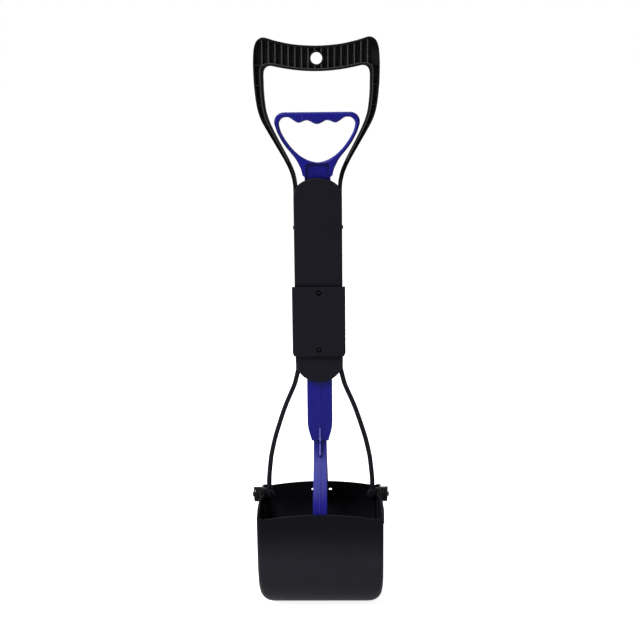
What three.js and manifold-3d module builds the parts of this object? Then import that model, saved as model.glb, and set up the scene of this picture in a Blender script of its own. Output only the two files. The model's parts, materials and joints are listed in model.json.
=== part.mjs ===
// A long-handled pet-waste scoop with a two-jaw bucket, in millimetres, +Z up.
// The origin is on the ground, in the middle under the closed bucket. The front is -Y.
// Pulling the blue handle up lifts the stem, which turns both jaws open by two links.

import * as THREE from 'three';
import { mergeVertices } from 'three/addons/utils/BufferGeometryUtils.js';
import Module from 'manifold-3d';

const wasm = await Module();
wasm.setup();

// Driving dimensions. The splice in the middle of the shaft is the base of the shaft's own heights
const pivotHeight = 138.3; // jaw pivots above the ground
const pivotDrop = 229.7; // splice down to the jaw pivots
const stemPinDrop = 146; // splice down to the link pin
const lowerCoverLength = 78.7;
const upperCoverRise = 10.6; // upper covers' top above the foot of the grip's legs
const gripReach = 343; // splice up to the top of the grip
const handleDrop = 88; // top of the grip down to the top of the pull handle
const pullStroke = 36;

// Clearances
const gap = 0.3; // between touching pieces
const overrun = 5; // how far a cut runs past a face

// Covers and rails
const coverHalf = 29.6;
const upperArcRise = 21.1; // height of the arc at a cover's free end
const lowerArcRise = 27;
const coverThickness = 4.2;
const coverBevel = 0.8;
const rearCoverSet = 4; // the rear cover's top end is lower by this
const frameThickness = 13;
const railHalf = 29.5; // outer face of the rails
const railInner = 16.7; // inner face of the rails
const guideRibWidth = 2;
const guideRibPlace = 10.5; // middle of a guide rib from the centre
const catchDrop = 50.6; // snap catch below the foot of the grip's legs
const catchLength = 4;
const catchProud = 1.3;

// Cover screws, driven in from the rear
const coverScrewPlace = 22.3; // from the centre line
const coverScrewShank = 1.6; // radius
const coverScrewHead = 3;
const coverScrewHeadHeight = 1.8;
const coverScrewBite = 2.4; // into the front cover
const upperScrewHeight = 60; // low pair above the splice
const upperScrewDrop = 28; // high pair below the foot of the grip's legs
const lowerScrewDepth = 16; // high pair below the splice
const lowerScrewRise = 24.7; // low pair above the lower covers' end

// D-grip
const gripHalf = 75.6;
const gripDip = 10.1; // how far the middle of the top edge sinks
const gripBarDepth = 40; // top of the horns to the underside in the middle
const gripLegHeight = 177; // top of the horns to the foot of the legs
const gripLegWidth = 11.9; // beside the opening
const legWidth = 5.1; // at the foot
const legFootTuck = 8.7; // inner edge turns in to the rail this far below the foot
const legFootBend = 10.2; // outer edge turns down to the rail this far below the foot
const railTuck = 6.4; // rail's width where the leg joins it
const gripRim = 2.5;
const gripWeb = 3.4; // back wall of the channel
const gripRibThickness = 1.4;
const gripRibPitch = 7.85;
const gripRibShift = 1.8; // upright ribs lie left of the hole's middle by this
const gripRibRecess = 0.8;
const gripSideRibs = 8;
const legRibDrop = 32.5; // first cross rib of a leg, below the top
const legRibPitch = 23.5;
const legRibs = 4;
const hangHoleDrop = 24.8;
const hangHole = 7; // radius
const hangBossWall = 3;

// Pull handle and stem
const handleHalf = 51.8;
const handleHeight = 76; // top to the shoulder on the stem
const handleThickness = 11;
const handleBevel = 1.3;
const handleClearance = 1; // to the grip's legs
const handleArm = 5; // least width beside the opening
const stemHalf = 15.8;
const stemWall = 2.2; // flanges of the stem
const stemSide = 1.5; // wall beside the handle's pocket
const stemWeb = 4;
const pocketTopDrop = 61.1; // pocket's top below the handle's top
const pocketFoot = 46; // pocket's foot above the splice
const lapHigh = 10; // stem lap joint, below the splice
const lapLow = 27;
const rivetRadius = 2;
const rivetHead = 3.6;
const rivetHeadHeight = 1.2;

// Fork at the stem's foot
const stemFootDrop = 156.6; // splice down to the stem's foot
const stemTaperDrop = 131; // where the taper starts
const stemFootHalf = 10.9;
const forkFrontWall = 1.5; // slit for the front link's rib
const forkRearWall = 1.3;
const linkPinRadius = 2;
const linkPinHalf = 12;
const rearPocketHigh = 84; // rear pocket of the lower stem, below the splice
const rearPocketLow = 124;
const rearPocketDepth = 6;

// Links
const linkHalf = 8.8;
const linkTopHalf = 8.2; // plate's half width at its top
const linkFull = 69; // full width from here down, below the link pin
const linkThickness = 3;
const linkRibHalf = 1.4;
const linkRibHeight = 4.2;
const linkEye = 3.7; // radius at the link pin
const finRise = 7.4; // top of the front link's fin above the link pin
const finReach = 6.4; // fin's front face before the link pin
const finCorner = 1.2;
const linkCheek = 2.7; // thickness of the rear link's cheeks
const linkTop = 11.4; // plate's top below the link pin
const linkTopOffset = 2.2; // plate's middle from the stem's middle plane there
const lugReach = 55.5; // pivot plane to the lug pin
const lugDrop = 14.8; // pivots down to the lug pin
const linkBarrel = 3.6; // radius
const linkBarrelHalf = 4.2;
const lugRoomHeight = 7; // the plate's sides stop this far above the lug pin
const lugPinRadius = 1.9;
const linkRibFoot = 32; // rib's foot below the link pin
const linkSteps = 10;

// Sleeve
const sleeveLength = 86.5;
const sleeveHalf = 32.9;
const sleeveThickness = 4;
const sleeveWall = 2.7;
const sleeveCorner = 2;
const sleeveFootRun = 1.1; // the foot is this much further from the splice than the top
const sleeveFootCut = 4.4; // height of the foot's cut corners
const sleeveCheek = 6.4; // how far the front half's sides reach back
const sleeveScrewMargin = 7.45; // sleeve's end to a screw
const sleeveBoss = 4.5; // radius
const sleeveScrewShank = 1.5;
const sleeveScrewHead = 3;
const sleeveScrewHeadHeight = 2;
const sleeveScrewLength = 16;
const sleeveCounterbore = 3.5; // radius
const sleeveHeadRecess = 0.6;

// Lower legs and pivot brackets
const lowerLegWidth = 6;
const lowerLegTuck = 9.4; // inner edge meets the rail this far above the leg's foot
const lowerLegThickness = 8;
const lowerLegDrop = 73; // splice down to where the legs leave the covers
const lowerLegSpread = 69; // outer face at the bracket
const bracketThickness = 6;
const bracketRadius = 7.6;
const pivotRadius = 2.5;

// Bucket
const jawDepth = 64; // pivot plane to the outer face of the rim
const jawFlare = 10; // rim's outer face outside the lower legs
const rimDrop = 9.3; // pivots down to the rim's corners
const rimArch = 4.6; // the rim's middle above its corners
const rimDip = 1.8; // the rim beside its corners below them
const cornerWidth = 4.5;
const jawWall = 2.4;
const jawSplit = 0.35; // each jaw's edge from the middle plane
const earRadius = 7.6;
const earWall = 2.4;
const sideRise = 3.4; // side wall's top edge above the pivots' level, less the ear
const sideRiseReach = 13; // where the side edge meets the ear
const lugWall = 3.6;
const lugMargin = 2.4; // lug material round its slot
const lugSlotRun = 2.8; // slot length that the link's straight coupling needs
const lugSlotRise = 0.7;
const windowPlace = 11.6;
const windowWidth = 3.8;
const windowHeight = 2.8;
const windowDrop = 16; // pivots down to a window's middle
const wallShoulder = 22; // side wall spreads from the ear to here
const shoulderInset = 1.2;
const ledgeReach = 35; // spring ledge from the pivot plane
const ledgeDrop = 22.8; // ledge's top below the pivots
const ledgeLength = 8;
const ledgeHeight = 3;
const ledgeProud = 2.4;

// Springs and pivot pins
const coilRadius = 8.8;
const springWire = 2.1; // diameter
const springLength = 9.4; // between the end curls' middles
const springCurls = 4; // full curls, besides the part curl to the legs
const curlSteps = 8;
const wireSides = 5;
const legSteps = 4;
const coilClearance = 0.45; // front ear to the coil's first curl
const earClearance = 0.9; // coil to the spread of the side walls
const pinReach = 18.4; // outer end of a pivot pin outside the lower legs
const pinCap = 3.2; // radius
const pinCapHeight = 1.2;
const retainerRadius = 5;
const retainerThickness = 1.6;
const pinInnerReach = 1.4; // past the retainer

const roundSides = 12;
const smallSides = 10;
const eyeSides = 16;
const bossSides = 24;
const weldDistance = 0.0001;

// Tables of shares, read off the outlines

// Bar of the grip: place across, top edge's drop, underside's drop
const barShares = [
  [0, 1, 1],
  [0.2, 0.94, 0.987],
  [0.4, 0.78, 0.947],
  [0.586, 0.495, 0.886],
  [0.679, 0.317, 0.848],
];
// Corner of the grip: outer place and drop, inner place and drop (drops of the bar depth)
const cornerShares = [
  [0.772, 0.025, 0.726, 0.835],
  [0.839, 0, 0.77, 0.846],
  [0.903, 0.043, 0.804, 0.886],
  [0.949, 0.132, 0.824, 0.937],
  [0.98, 0.291, 0.836, 1],
  [0.993, 0.481, 0.8415, 1.089],
  [1, 0.81, 0.8422, 1.165],
];
// Legs of the grip: height, spread and width
const gripLegShares = [
  [0.712, 0.991, 0.96],
  [0.644, 0.972, 0.87],
  [0.576, 0.943, 0.81],
  [0.508, 0.893, 0.72],
  [0.443, 0.803, 0.62],
  [0.376, 0.663, 0.44],
  [0.308, 0.511, 0.3],
  [0.241, 0.362, 0.22],
  [0.172, 0.212, 0.13],
  [0.104, 0.092, 0.07],
  [0.045, 0.028, 0.02],
  [0, 0.004, 0],
];
// Pull handle: outer half outline from the top down, of its half width and height
const handleOuterShares = [
  [0.77, 0],
  [0.83, 0.0055],
  [0.885, 0.021],
  [0.933, 0.0455],
  [0.97, 0.078],
  [0.993, 0.117],
  [1, 0.152],
  [0.992, 0.195],
  [0.965, 0.253],
  [0.932, 0.32],
  [0.887, 0.381],
  [0.838, 0.444],
  [0.777, 0.509],
  [0.709, 0.573],
  [0.631, 0.637],
  [0.555, 0.701],
  [0.486, 0.767],
  [0.4375, 0.831],
  [0.3926, 0.895],
  [0.365, 0.96],
  [0.358, 1],
];
// Pull handle: opening's half outline, finger profile first
const handleInnerShares = [
  [0, 0.194],
  [0.09, 0.177],
  [0.18, 0.143],
  [0.244, 0.133],
  [0.32, 0.147],
  [0.39, 0.167],
  [0.43, 0.17],
  [0.48, 0.161],
  [0.56, 0.126],
  [0.645, 0.088],
  [0.723, 0.081],
  [0.79, 0.09],
  [0.842, 0.117],
  [0.881, 0.165],
  [0.877, 0.215],
  [0.86, 0.265],
  [0.832, 0.32],
  [0.785, 0.381],
  [0.728, 0.444],
  [0.664, 0.505],
  [0.59, 0.569],
  [0.496, 0.633],
  [0.383, 0.697],
  [0.203, 0.763],
  [0, 0.793],
];
// Lower legs: depth below the covers and spread
const lowerLegShares = [
  [0, 0.058],
  [0.064, 0.126],
  [0.134, 0.241],
  [0.198, 0.352],
  [0.266, 0.46],
  [0.333, 0.553],
  [0.403, 0.643],
  [0.467, 0.724],
  [0.538, 0.802],
  [0.604, 0.862],
  [0.672, 0.917],
  [0.743, 0.952],
  [0.81, 0.98],
  [0.877, 1],
];
// Stem's foot: how far down the taper, and how far in
const stemTaperShares = [
  [0.2, 0.07],
  [0.41, 0.22],
  [0.67, 0.57],
  [0.92, 0.95],
  [1, 1],
];
// Jaw seen from the side: forward reach and height, from the rim to the flat foot
const jawProfileShares = [
  [1, 1],
  [0.998, 0.86],
  [0.985, 0.7],
  [0.955, 0.53],
  [0.9, 0.38],
  [0.81, 0.25],
  [0.69, 0.145],
  [0.55, 0.068],
  [0.4, 0.02],
  [0.25, 0],
];
// Jaw seen from the front: half width and height, from the rim to the foot
const jawWidthShares = [
  [1, 1],
  [1, 0.6],
  [1, 0.3],
  [0.994, 0.22],
  [0.977, 0.15],
  [0.938, 0.085],
  [0.886, 0.035],
  [0.82, 0.008],
  [0.77, 0],
];
// Links: the plate's path from the stem to the lug, as reach and fall
const linkBendShares = [
  [0.04, 0.42],
  [0.9, 0.55],
];

// Derived levels, from the splice

const spliceHeight = pivotHeight + pivotDrop;
const frameHalf = frameThickness / 2;
const coverInner = frameHalf + gap;
const coverOuter = coverInner + coverThickness;
const sleeveInner = coverOuter + gap;
const sleeveOuter = sleeveInner + sleeveThickness;
const sleeveInnerHalf = sleeveHalf - sleeveWall;
const legFootHeight = gripReach - gripLegHeight;
const handleReach = gripReach - handleDrop;
const upperCoverLength = legFootHeight + upperCoverRise;
const upperArcHeight = upperCoverLength - coverHalf;
const catchHeight = legFootHeight - catchDrop;
const lowerArcDrop = lowerCoverLength - coverHalf;
const stemThicknessHalf = handleThickness / 2;
const bossSlotHalf = sleeveBoss + gap * 2;
const sleeveScrewHeight = sleeveLength / 2 - sleeveScrewMargin;
const rimHeight = pivotHeight - rimDrop;
const jawHalf = lowerLegSpread + jawFlare;
const pinEnd = lowerLegSpread + pinReach;
const earOuterFront = lowerLegSpread + gap * 2 + earWall * 2;
const earOuterRear = lowerLegSpread + gap + earWall;

// Helpers

function toSolid(geometry) {
  const bare = geometry.clone();
  bare.deleteAttribute('normal');
  bare.deleteAttribute('uv');
  const merged = mergeVertices(bare, weldDistance);
  const position = merged.getAttribute('position');
  const index = merged.index.array;
  const kept = [];
  for (let i = 0; i < index.length; i += 3) {
    const [a, b, c] = [index[i], index[i + 1], index[i + 2]];
    if (a !== b && b !== c && c !== a) {
      kept.push(a, b, c);
    }
  }
  let volume = 0;
  const [p, q, r] = [new THREE.Vector3(), new THREE.Vector3(), new THREE.Vector3()];
  for (let i = 0; i < kept.length; i += 3) {
    p.fromBufferAttribute(position, kept[i]);
    q.fromBufferAttribute(position, kept[i + 1]);
    r.fromBufferAttribute(position, kept[i + 2]);
    volume += p.dot(q.cross(r));
  }
  if (volume < 0) {
    for (let i = 0; i < kept.length; i += 3) {
      [kept[i + 1], kept[i + 2]] = [kept[i + 2], kept[i + 1]];
    }
  }
  return new wasm.Manifold(new wasm.Mesh({
    numProp: 3,
    vertProperties: new Float32Array(position.array),
    triVerts: new Uint32Array(kept),
  }));
}

function toGeometry(solid) {
  const mesh = solid.getMesh();
  const geometry = new THREE.BufferGeometry();
  const count = mesh.vertProperties.length / mesh.numProp;
  const position = new Float32Array(count * 3);
  for (let i = 0; i < count; i += 1) {
    for (let k = 0; k < 3; k += 1) {
      position[i * 3 + k] = mesh.vertProperties[i * mesh.numProp + k];
    }
  }
  geometry.setAttribute('position', new THREE.BufferAttribute(position, 3));
  geometry.setIndex(new THREE.BufferAttribute(new Uint32Array(mesh.triVerts), 1));
  geometry.computeVertexNormals();
  return geometry;
}

function shapeOf(points) {
  return new THREE.Shape(points.map(([a, b]) => new THREE.Vector2(a, b)));
}

const alongX = new THREE.Matrix4().makeBasis(
  new THREE.Vector3(0, 1, 0),
  new THREE.Vector3(0, 0, 1),
  new THREE.Vector3(1, 0, 0),
);
const alongY = new THREE.Matrix4().makeBasis(
  new THREE.Vector3(1, 0, 0),
  new THREE.Vector3(0, 0, 1),
  new THREE.Vector3(0, -1, 0),
);

function bevelled(depth, bevel) {
  return {
    depth: depth - bevel * 2,
    bevelEnabled: bevel > 0,
    bevelThickness: bevel,
    bevelSize: bevel,
    bevelOffset: -bevel,
    bevelSegments: 1,
    curveSegments: 1,
  };
}

// A plate whose outline is drawn as seen from the front, from y = low to y = high
function frontPlate(points, low, high, bevel = 0) {
  const geometry = new THREE.ExtrudeGeometry(
    shapeOf(points),
    bevelled(high - low, bevel),
  );
  geometry.translate(0, 0, bevel);
  geometry.applyMatrix4(alongY);
  geometry.translate(0, high, 0);
  return toSolid(geometry);
}

// A plate whose outline is drawn as seen from the side (y, z), from x = low to x = high
function sidePlate(points, low, high) {
  const geometry = new THREE.ExtrudeGeometry(shapeOf(points), bevelled(high - low, 0));
  geometry.applyMatrix4(alongX);
  geometry.translate(low, 0, 0);
  return toSolid(geometry);
}

// A bar whose outline is drawn in plan (x, y), from z = low to z = high
function planBar(points, low, high) {
  const geometry = new THREE.ExtrudeGeometry(shapeOf(points), bevelled(high - low, 0));
  geometry.translate(0, 0, low);
  return toSolid(geometry);
}

function box(x0, x1, y0, y1, z0, z1) {
  const geometry = new THREE.BoxGeometry(x1 - x0, y1 - y0, z1 - z0);
  geometry.translate((x0 + x1) / 2, (y0 + y1) / 2, (z0 + z1) / 2);
  return toSolid(geometry);
}

// Round bars: along X at (y, z), and along Y at (x, z)
function roundX(radius, x0, x1, y, z, sides = roundSides) {
  const geometry = new THREE.CylinderGeometry(radius, radius, x1 - x0, sides);
  geometry.rotateZ(Math.PI / 2);
  geometry.translate((x0 + x1) / 2, y, z);
  return toSolid(geometry);
}

function roundY(radius, y0, y1, x, z, sides = roundSides) {
  const geometry = new THREE.CylinderGeometry(radius, radius, y1 - y0, sides);
  geometry.translate(x, (y0 + y1) / 2, z);
  return toSolid(geometry);
}

function union(parts) {
  return parts.reduce((whole, part) => whole.add(part));
}

function cut(whole, parts) {
  return parts.reduce((rest, part) => rest.subtract(part), whole);
}

function mirrored(points) {
  return points.map(([x, z]) => [-x, z]).reverse();
}

function mix(a, b, share) {
  return a + (b - a) * share;
}

// A path moved sideways: to the left of its direction for a positive distance
function offsetPath(points, distance) {
  return points.map((point, i) => {
    const before = points[Math.max(i - 1, 0)];
    const after = points[Math.min(i + 1, points.length - 1)];
    const dx = after[0] - before[0];
    const dz = after[1] - before[1];
    const length = Math.hypot(dx, dz);
    return [point[0] - (dz / length) * distance, point[1] + (dx / length) * distance];
  });
}

const black = new THREE.MeshStandardMaterial({
  name: 'black_plastic', color: '#1c1b20', roughness: 0.55, metalness: 0,
});
const blue = new THREE.MeshStandardMaterial({
  name: 'blue_plastic', color: '#23208c', roughness: 0.45, metalness: 0,
});
const steel = new THREE.MeshStandardMaterial({
  name: 'dark_steel', color: '#2b2b2f', roughness: 0.4, metalness: 0.9,
});

function piece(group, name, solid, material) {
  const mesh = new THREE.Mesh(toGeometry(solid), material);
  mesh.name = name;
  group.add(mesh);
  return mesh;
}

const scoop = new THREE.Group();
const shaft = new THREE.Group();
shaft.position.z = spliceHeight;
scoop.add(shaft);
const puller = new THREE.Group();
puller.position.z = spliceHeight;
scoop.add(puller);
const links = new THREE.Group();
links.position.z = spliceHeight - stemPinDrop;
scoop.add(links);
const bucket = new THREE.Group();
bucket.position.z = pivotHeight;
scoop.add(bucket);

// Grip frame

// Pairs of outer and inner points of the right half, from the middle of the grip down
const gripPairs = [
  ...barShares.map(([across, top, under]) => [
    [across * gripHalf, gripReach - top * gripDip],
    [across * gripHalf, gripReach - under * gripBarDepth],
  ]),
  ...cornerShares.map(([xOut, dropOut, xIn, dropIn]) => [
    [xOut * gripHalf, gripReach - dropOut * gripBarDepth],
    [xIn * gripHalf, gripReach - dropIn * gripBarDepth],
  ]),
  ...gripLegShares.map(([height, spread, width]) => {
    const z = mix(legFootHeight, gripReach, height);
    const x = mix(railHalf, gripHalf, spread);
    return [[x, z], [x - mix(legWidth, gripLegWidth, width), z]];
  }),
];

// Inner edge of a leg of the grip at a height above the splice
function legInnerAt(height) {
  const inner = gripPairs.map(([, into]) => into);
  const rail = [railHalf - railTuck, legFootHeight - legFootTuck];
  const path = [...inner.slice(barShares.length), rail, [railInner, 0]];
  const below = path.findIndex(([, z]) => z <= height);
  const [a, b] = [path[Math.max(below - 1, 0)], path[Math.max(below, 1)]];
  const share = Math.min(Math.max((height - a[1]) / (b[1] - a[1]), 0), 1);
  return mix(a[0], b[0], share);
}

function gripSolid() {
  const outer = gripPairs.map(([out]) => out);
  const inner = gripPairs.map(([, into]) => into);
  const railTop = legFootHeight - legFootTuck;
  const railShoulder = upperArcHeight - gap;
  const rightOuter = [...outer, [railHalf, legFootHeight - legFootBend], [railHalf, gap]];
  const rightInner = [
    ...inner,
    [railHalf - railTuck, railTop],
    [railInner, railShoulder],
    [railInner, gap],
  ];
  const leftOuter = mirrored(rightOuter).slice(0, -1);
  const leftInner = mirrored(rightInner).slice(0, -1);
  const outline = [...leftOuter, ...rightOuter, ...rightInner.reverse(), ...leftInner.reverse()];
  const body = frontPlate(outline, -frameHalf, frameHalf);

  // Channel: the same pairs drawn in by the rim
  const channelPairs = gripPairs.slice(0, -3).map(([out, into]) => {
    const width = Math.hypot(out[0] - into[0], out[1] - into[1]);
    const share = Math.min(gripRim, width * (gripRim / gripLegWidth)) / width;
    return [
      [mix(out[0], into[0], share), mix(out[1], into[1], share)],
      [mix(out[0], into[0], 1 - share), mix(out[1], into[1], 1 - share)],
    ];
  });
  const channelOuter = channelPairs.map(([out]) => out);
  const channelInner = channelPairs.map(([, into]) => into);
  const channel = [
    ...mirrored(channelOuter).slice(0, -1),
    ...channelOuter,
    ...[...channelInner].reverse(),
    ...mirrored(channelInner).reverse().slice(1),
  ];
  const channelBack = frameHalf - gripWeb;
  const channelSolid = frontPlate(channel, -frameHalf - overrun, channelBack);

  // Ribs stand in the channel, a little below the rim
  const ribFront = -frameHalf + gripRibRecess;
  const ribs = [];
  const half = gripRibThickness / 2;
  for (let k = -gripSideRibs; k <= gripSideRibs; k += 1) {
    const x = k * gripRibPitch - gripRibShift;
    ribs.push(box(
      x - half,
      x + half,
      ribFront,
      channelBack,
      gripReach - gripBarDepth - overrun,
      gripReach + overrun,
    ));
  }
  for (let k = 0; k < legRibs; k += 1) {
    const z = gripReach - legRibDrop - k * legRibPitch;
    for (const side of [-1, 1]) {
      const near = side > 0 ? railInner : -gripHalf;
      const far = side > 0 ? gripHalf : -railInner;
      ribs.push(box(near, far, ribFront, channelBack, z - half, z + half));
    }
  }
  const ribSolid = union(ribs).intersect(channelSolid);
  const holeHeight = gripReach - hangHoleDrop;
  const boss = roundY(hangHole + hangBossWall, -frameHalf, frameHalf, 0, holeHeight, bossSides);
  const hole = roundY(
    hangHole,
    -frameHalf - overrun,
    frameHalf + overrun,
    0,
    holeHeight,
    bossSides,
  );
  return cut(union([cut(body, [channelSolid]), ribSolid, boss]), [hole]);
}

function coverScrewHoles(heights) {
  const holes = [];
  for (const z of heights) {
    for (const side of [-1, 1]) {
      holes.push(roundY(
        coverScrewShank + gap,
        -coverInner - coverScrewBite - gap,
        coverOuter + overrun,
        side * coverScrewPlace,
        z,
        smallSides,
      ));
      holes.push(roundY(
        coverScrewHead + gap,
        coverOuter - coverScrewHeadHeight - gap,
        coverOuter + overrun,
        side * coverScrewPlace,
        z,
        smallSides,
      ));
    }
  }
  return holes;
}

const upperScrews = [upperScrewHeight, legFootHeight - upperScrewDrop];
const lowerScrews = [lowerScrewRise - lowerCoverLength, -lowerScrewDepth];

const catches = [-1, 1].map((side) => box(
  Math.min(side * (railHalf - overrun / 2), side * (railHalf + catchProud)),
  Math.max(side * (railHalf - overrun / 2), side * (railHalf + catchProud)),
  -frameHalf / 2,
  frameHalf / 2,
  catchHeight - catchLength / 2,
  catchHeight + catchLength / 2,
));
piece(
  shaft,
  'upper_frame',
  cut(union([gripSolid(), ...catches]), coverScrewHoles(upperScrews)),
  black,
);

// Covers

function coverOutline(length, direction) {
  const rise = direction > 0 ? upperArcRise : lowerArcRise;
  const centre = length - rise;
  const points = [[coverHalf, direction * gap]];
  for (let k = 0; k <= roundSides; k += 1) {
    const angle = (Math.PI * k) / roundSides;
    points.push([
      coverHalf * Math.cos(angle),
      direction * (centre + rise * Math.sin(angle)),
    ]);
  }
  points.push([-coverHalf, direction * gap]);
  return points;
}

// side -1 is the front cover, 1 the rear cover
function cover(length, direction, side, screws, bossHeight) {
  const low = side < 0 ? -coverOuter : coverInner;
  const high = side < 0 ? -coverInner : coverOuter;
  const plate = frontPlate(coverOutline(length, direction), low, high, coverBevel);
  const ribTip = stemThicknessHalf + gap * 2;
  const ribs = [-1, 1].map((across) => box(
    across * guideRibPlace - guideRibWidth / 2,
    across * guideRibPlace + guideRibWidth / 2,
    side < 0 ? -coverInner - coverThickness / 2 : ribTip,
    side < 0 ? -ribTip : coverInner + coverThickness / 2,
    Math.min(direction * coverBevel * 2, direction * (length - coverHalf)),
    Math.max(direction * coverBevel * 2, direction * (length - coverHalf)),
  ));
  const bossHole = roundY(
    sleeveBoss + gap,
    -coverOuter - overrun,
    coverOuter + overrun,
    0,
    bossHeight,
  );
  return cut(union([plate, ...ribs]), [bossHole, ...coverScrewHoles(screws)]);
}

const covers = [
  ['upper_front_cover', upperCoverLength, 1, -1, upperScrews, sleeveScrewHeight],
  ['upper_rear_cover', upperCoverLength - rearCoverSet, 1, 1, upperScrews, sleeveScrewHeight],
  ['lower_front_cover', lowerCoverLength, -1, -1, lowerScrews, -sleeveScrewHeight],
  ['lower_rear_cover', lowerCoverLength, -1, 1, lowerScrews, -sleeveScrewHeight],
];
for (const [name, length, direction, side, screws, bossHeight] of covers) {
  piece(shaft, name, cover(length, direction, side, screws, bossHeight), black);
}

// Screws

// A screw along Y whose head's face is at y = face and whose shank runs towards direction
function screw(head, headHeight, shank, length, x, face, z, direction) {
  const profile = [
    [0, 0],
    [head, 0],
    [head, headHeight],
    [shank, headHeight],
    [shank, length],
    [0, length],
  ];
  const points = profile.map(([radius, along]) => new THREE.Vector2(radius, direction * along));
  const geometry = new THREE.LatheGeometry(points, smallSides);
  geometry.translate(x, face, z);
  return toSolid(geometry);
}

function coverScrews(half, heights) {
  const length = coverOuter + coverInner + coverScrewBite;
  let count = 0;
  for (const z of heights) {
    for (const side of [-1, 1]) {
      count += 1;
      piece(shaft, `${half}_cover_screw_${count}`, screw(
        coverScrewHead,
        coverScrewHeadHeight,
        coverScrewShank,
        length,
        side * coverScrewPlace,
        coverOuter,
        z,
        -1,
      ), steel);
    }
  }
}
coverScrews('upper', upperScrews);
coverScrews('lower', lowerScrews);

for (const [end, side] of [['bottom', -1], ['top', 1]]) {
  piece(shaft, `sleeve_screw_${end}`, screw(
    sleeveScrewHead,
    sleeveScrewHeadHeight,
    sleeveScrewShank,
    sleeveScrewLength,
    0,
    -sleeveOuter + sleeveHeadRecess,
    side * sleeveScrewHeight,
    1,
  ), steel);
}

// Sleeve

// The front half wraps the covers' sides; the rear half is a plate with the screw bosses
const sleeveTop = sleeveLength / 2;
const sleeveBottom = sleeveTop + sleeveFootRun;
const sleeveSection = [
  [-sleeveHalf, -sleeveOuter + sleeveCheek],
  [-sleeveHalf, -sleeveOuter + sleeveCorner],
  [-sleeveHalf + sleeveCorner, -sleeveOuter],
  [sleeveHalf - sleeveCorner, -sleeveOuter],
  [sleeveHalf, -sleeveOuter + sleeveCorner],
  [sleeveHalf, -sleeveOuter + sleeveCheek],
  [sleeveInnerHalf, -sleeveOuter + sleeveCheek],
  [sleeveInnerHalf, -sleeveInner],
  [-sleeveInnerHalf, -sleeveInner],
  [-sleeveInnerHalf, -sleeveOuter + sleeveCheek],
];
function sleeveOutline(half) {
  return [
    [-half, sleeveTop],
    [-half, -sleeveBottom + sleeveFootCut],
    [-half + sleeveCorner, -sleeveBottom],
    [half - sleeveCorner, -sleeveBottom],
    [half, -sleeveBottom + sleeveFootCut],
    [half, sleeveTop],
  ];
}
const sleeveFront = planBar(sleeveSection, -sleeveBottom, sleeveTop).intersect(
  frontPlate(sleeveOutline(sleeveHalf), -sleeveOuter, sleeveOuter),
);
const sleeveRear = frontPlate(sleeveOutline(railHalf), sleeveInner, sleeveOuter, coverBevel);

const sleeveHeights = [-sleeveScrewHeight, sleeveScrewHeight];
const frontSleeveCuts = sleeveHeights.flatMap((z) => [
  roundY(sleeveScrewShank + gap, -sleeveOuter - overrun, 0, 0, z, smallSides),
  roundY(
    sleeveCounterbore,
    -sleeveOuter - overrun,
    -sleeveOuter + sleeveHeadRecess + sleeveScrewHeadHeight + gap,
    0,
    z,
  ),
]);
piece(shaft, 'sleeve_front', cut(sleeveFront, frontSleeveCuts), black);

const screwTip = -sleeveOuter + sleeveHeadRecess + sleeveScrewLength;
const bosses = sleeveHeights.map((z) => roundY(
  sleeveBoss,
  -sleeveInner + gap,
  sleeveInner + sleeveThickness / 2,
  0,
  z,
));
const bossBores = sleeveHeights.map((z) => roundY(
  sleeveScrewShank + gap,
  -sleeveOuter,
  screwTip + gap,
  0,
  z,
  smallSides,
));
piece(shaft, 'sleeve_rear', cut(union([sleeveRear, ...bosses]), bossBores), black);

// Lower legs with their pivot brackets

function lowerLeg(side) {
  const bracketTop = -pivotDrop + bracketRadius;
  const fall = pivotDrop - lowerLegDrop;
  const outer = lowerLegShares.map(([depth, spread]) => [
    mix(railHalf, lowerLegSpread, spread),
    -lowerLegDrop - depth * fall,
  ]);
  const legInner = outer.map(([x, z]) => [x - lowerLegWidth, z]);
  const right = [
    [railInner, -gap],
    [railHalf, -gap],
    [railHalf, -lowerArcDrop],
    ...outer,
    [lowerLegSpread, bracketTop],
    [lowerLegSpread, bracketTop - lowerLegWidth],
    [lowerLegSpread - bracketThickness, bracketTop - lowerLegWidth],
    [lowerLegSpread - bracketThickness, bracketTop],
    ...[...legInner].reverse(),
    [railHalf - lowerLegWidth, -lowerLegDrop + lowerLegTuck],
    [railInner, -lowerArcDrop - lowerLegWidth],
  ];
  const outline = side > 0 ? right : mirrored(right);
  const x0 = side > 0 ? 0 : -lowerLegSpread;
  const x1 = side > 0 ? lowerLegSpread : 0;
  const slim = lowerLegThickness / 2;
  const profile = [
    [-frameHalf, 0],
    [frameHalf, 0],
    [frameHalf, -lowerLegDrop + lowerLegWidth],
    [slim, -lowerLegDrop - lowerLegWidth],
    [slim, -pivotDrop],
    [-slim, -pivotDrop],
    [-slim, -lowerLegDrop - lowerLegWidth],
    [-frameHalf, -lowerLegDrop + lowerLegWidth],
  ];
  const leg = frontPlate(outline, -frameHalf, frameHalf).intersect(sidePlate(profile, x0, x1));
  const eyeInner = lowerLegSpread - bracketThickness;
  const eyeLow = side > 0 ? eyeInner : -lowerLegSpread;
  const eyeHigh = side > 0 ? lowerLegSpread : -eyeInner;
  const eye = roundX(bracketRadius, eyeLow, eyeHigh, 0, -pivotDrop, eyeSides);
  const block = box(
    eyeLow,
    eyeHigh,
    -bracketRadius,
    bracketRadius,
    -pivotDrop,
    bracketTop,
  );
  const bore = roundX(
    pivotRadius + gap,
    side > 0 ? eyeInner - overrun : -lowerLegSpread - overrun,
    side > 0 ? lowerLegSpread + overrun : -eyeInner + overrun,
    0,
    -pivotDrop,
  );
  return cut(union([leg, eye, block]), [bore, ...coverScrewHoles(lowerScrews)]);
}
piece(shaft, 'lower_left_leg', lowerLeg(-1), black);
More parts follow.
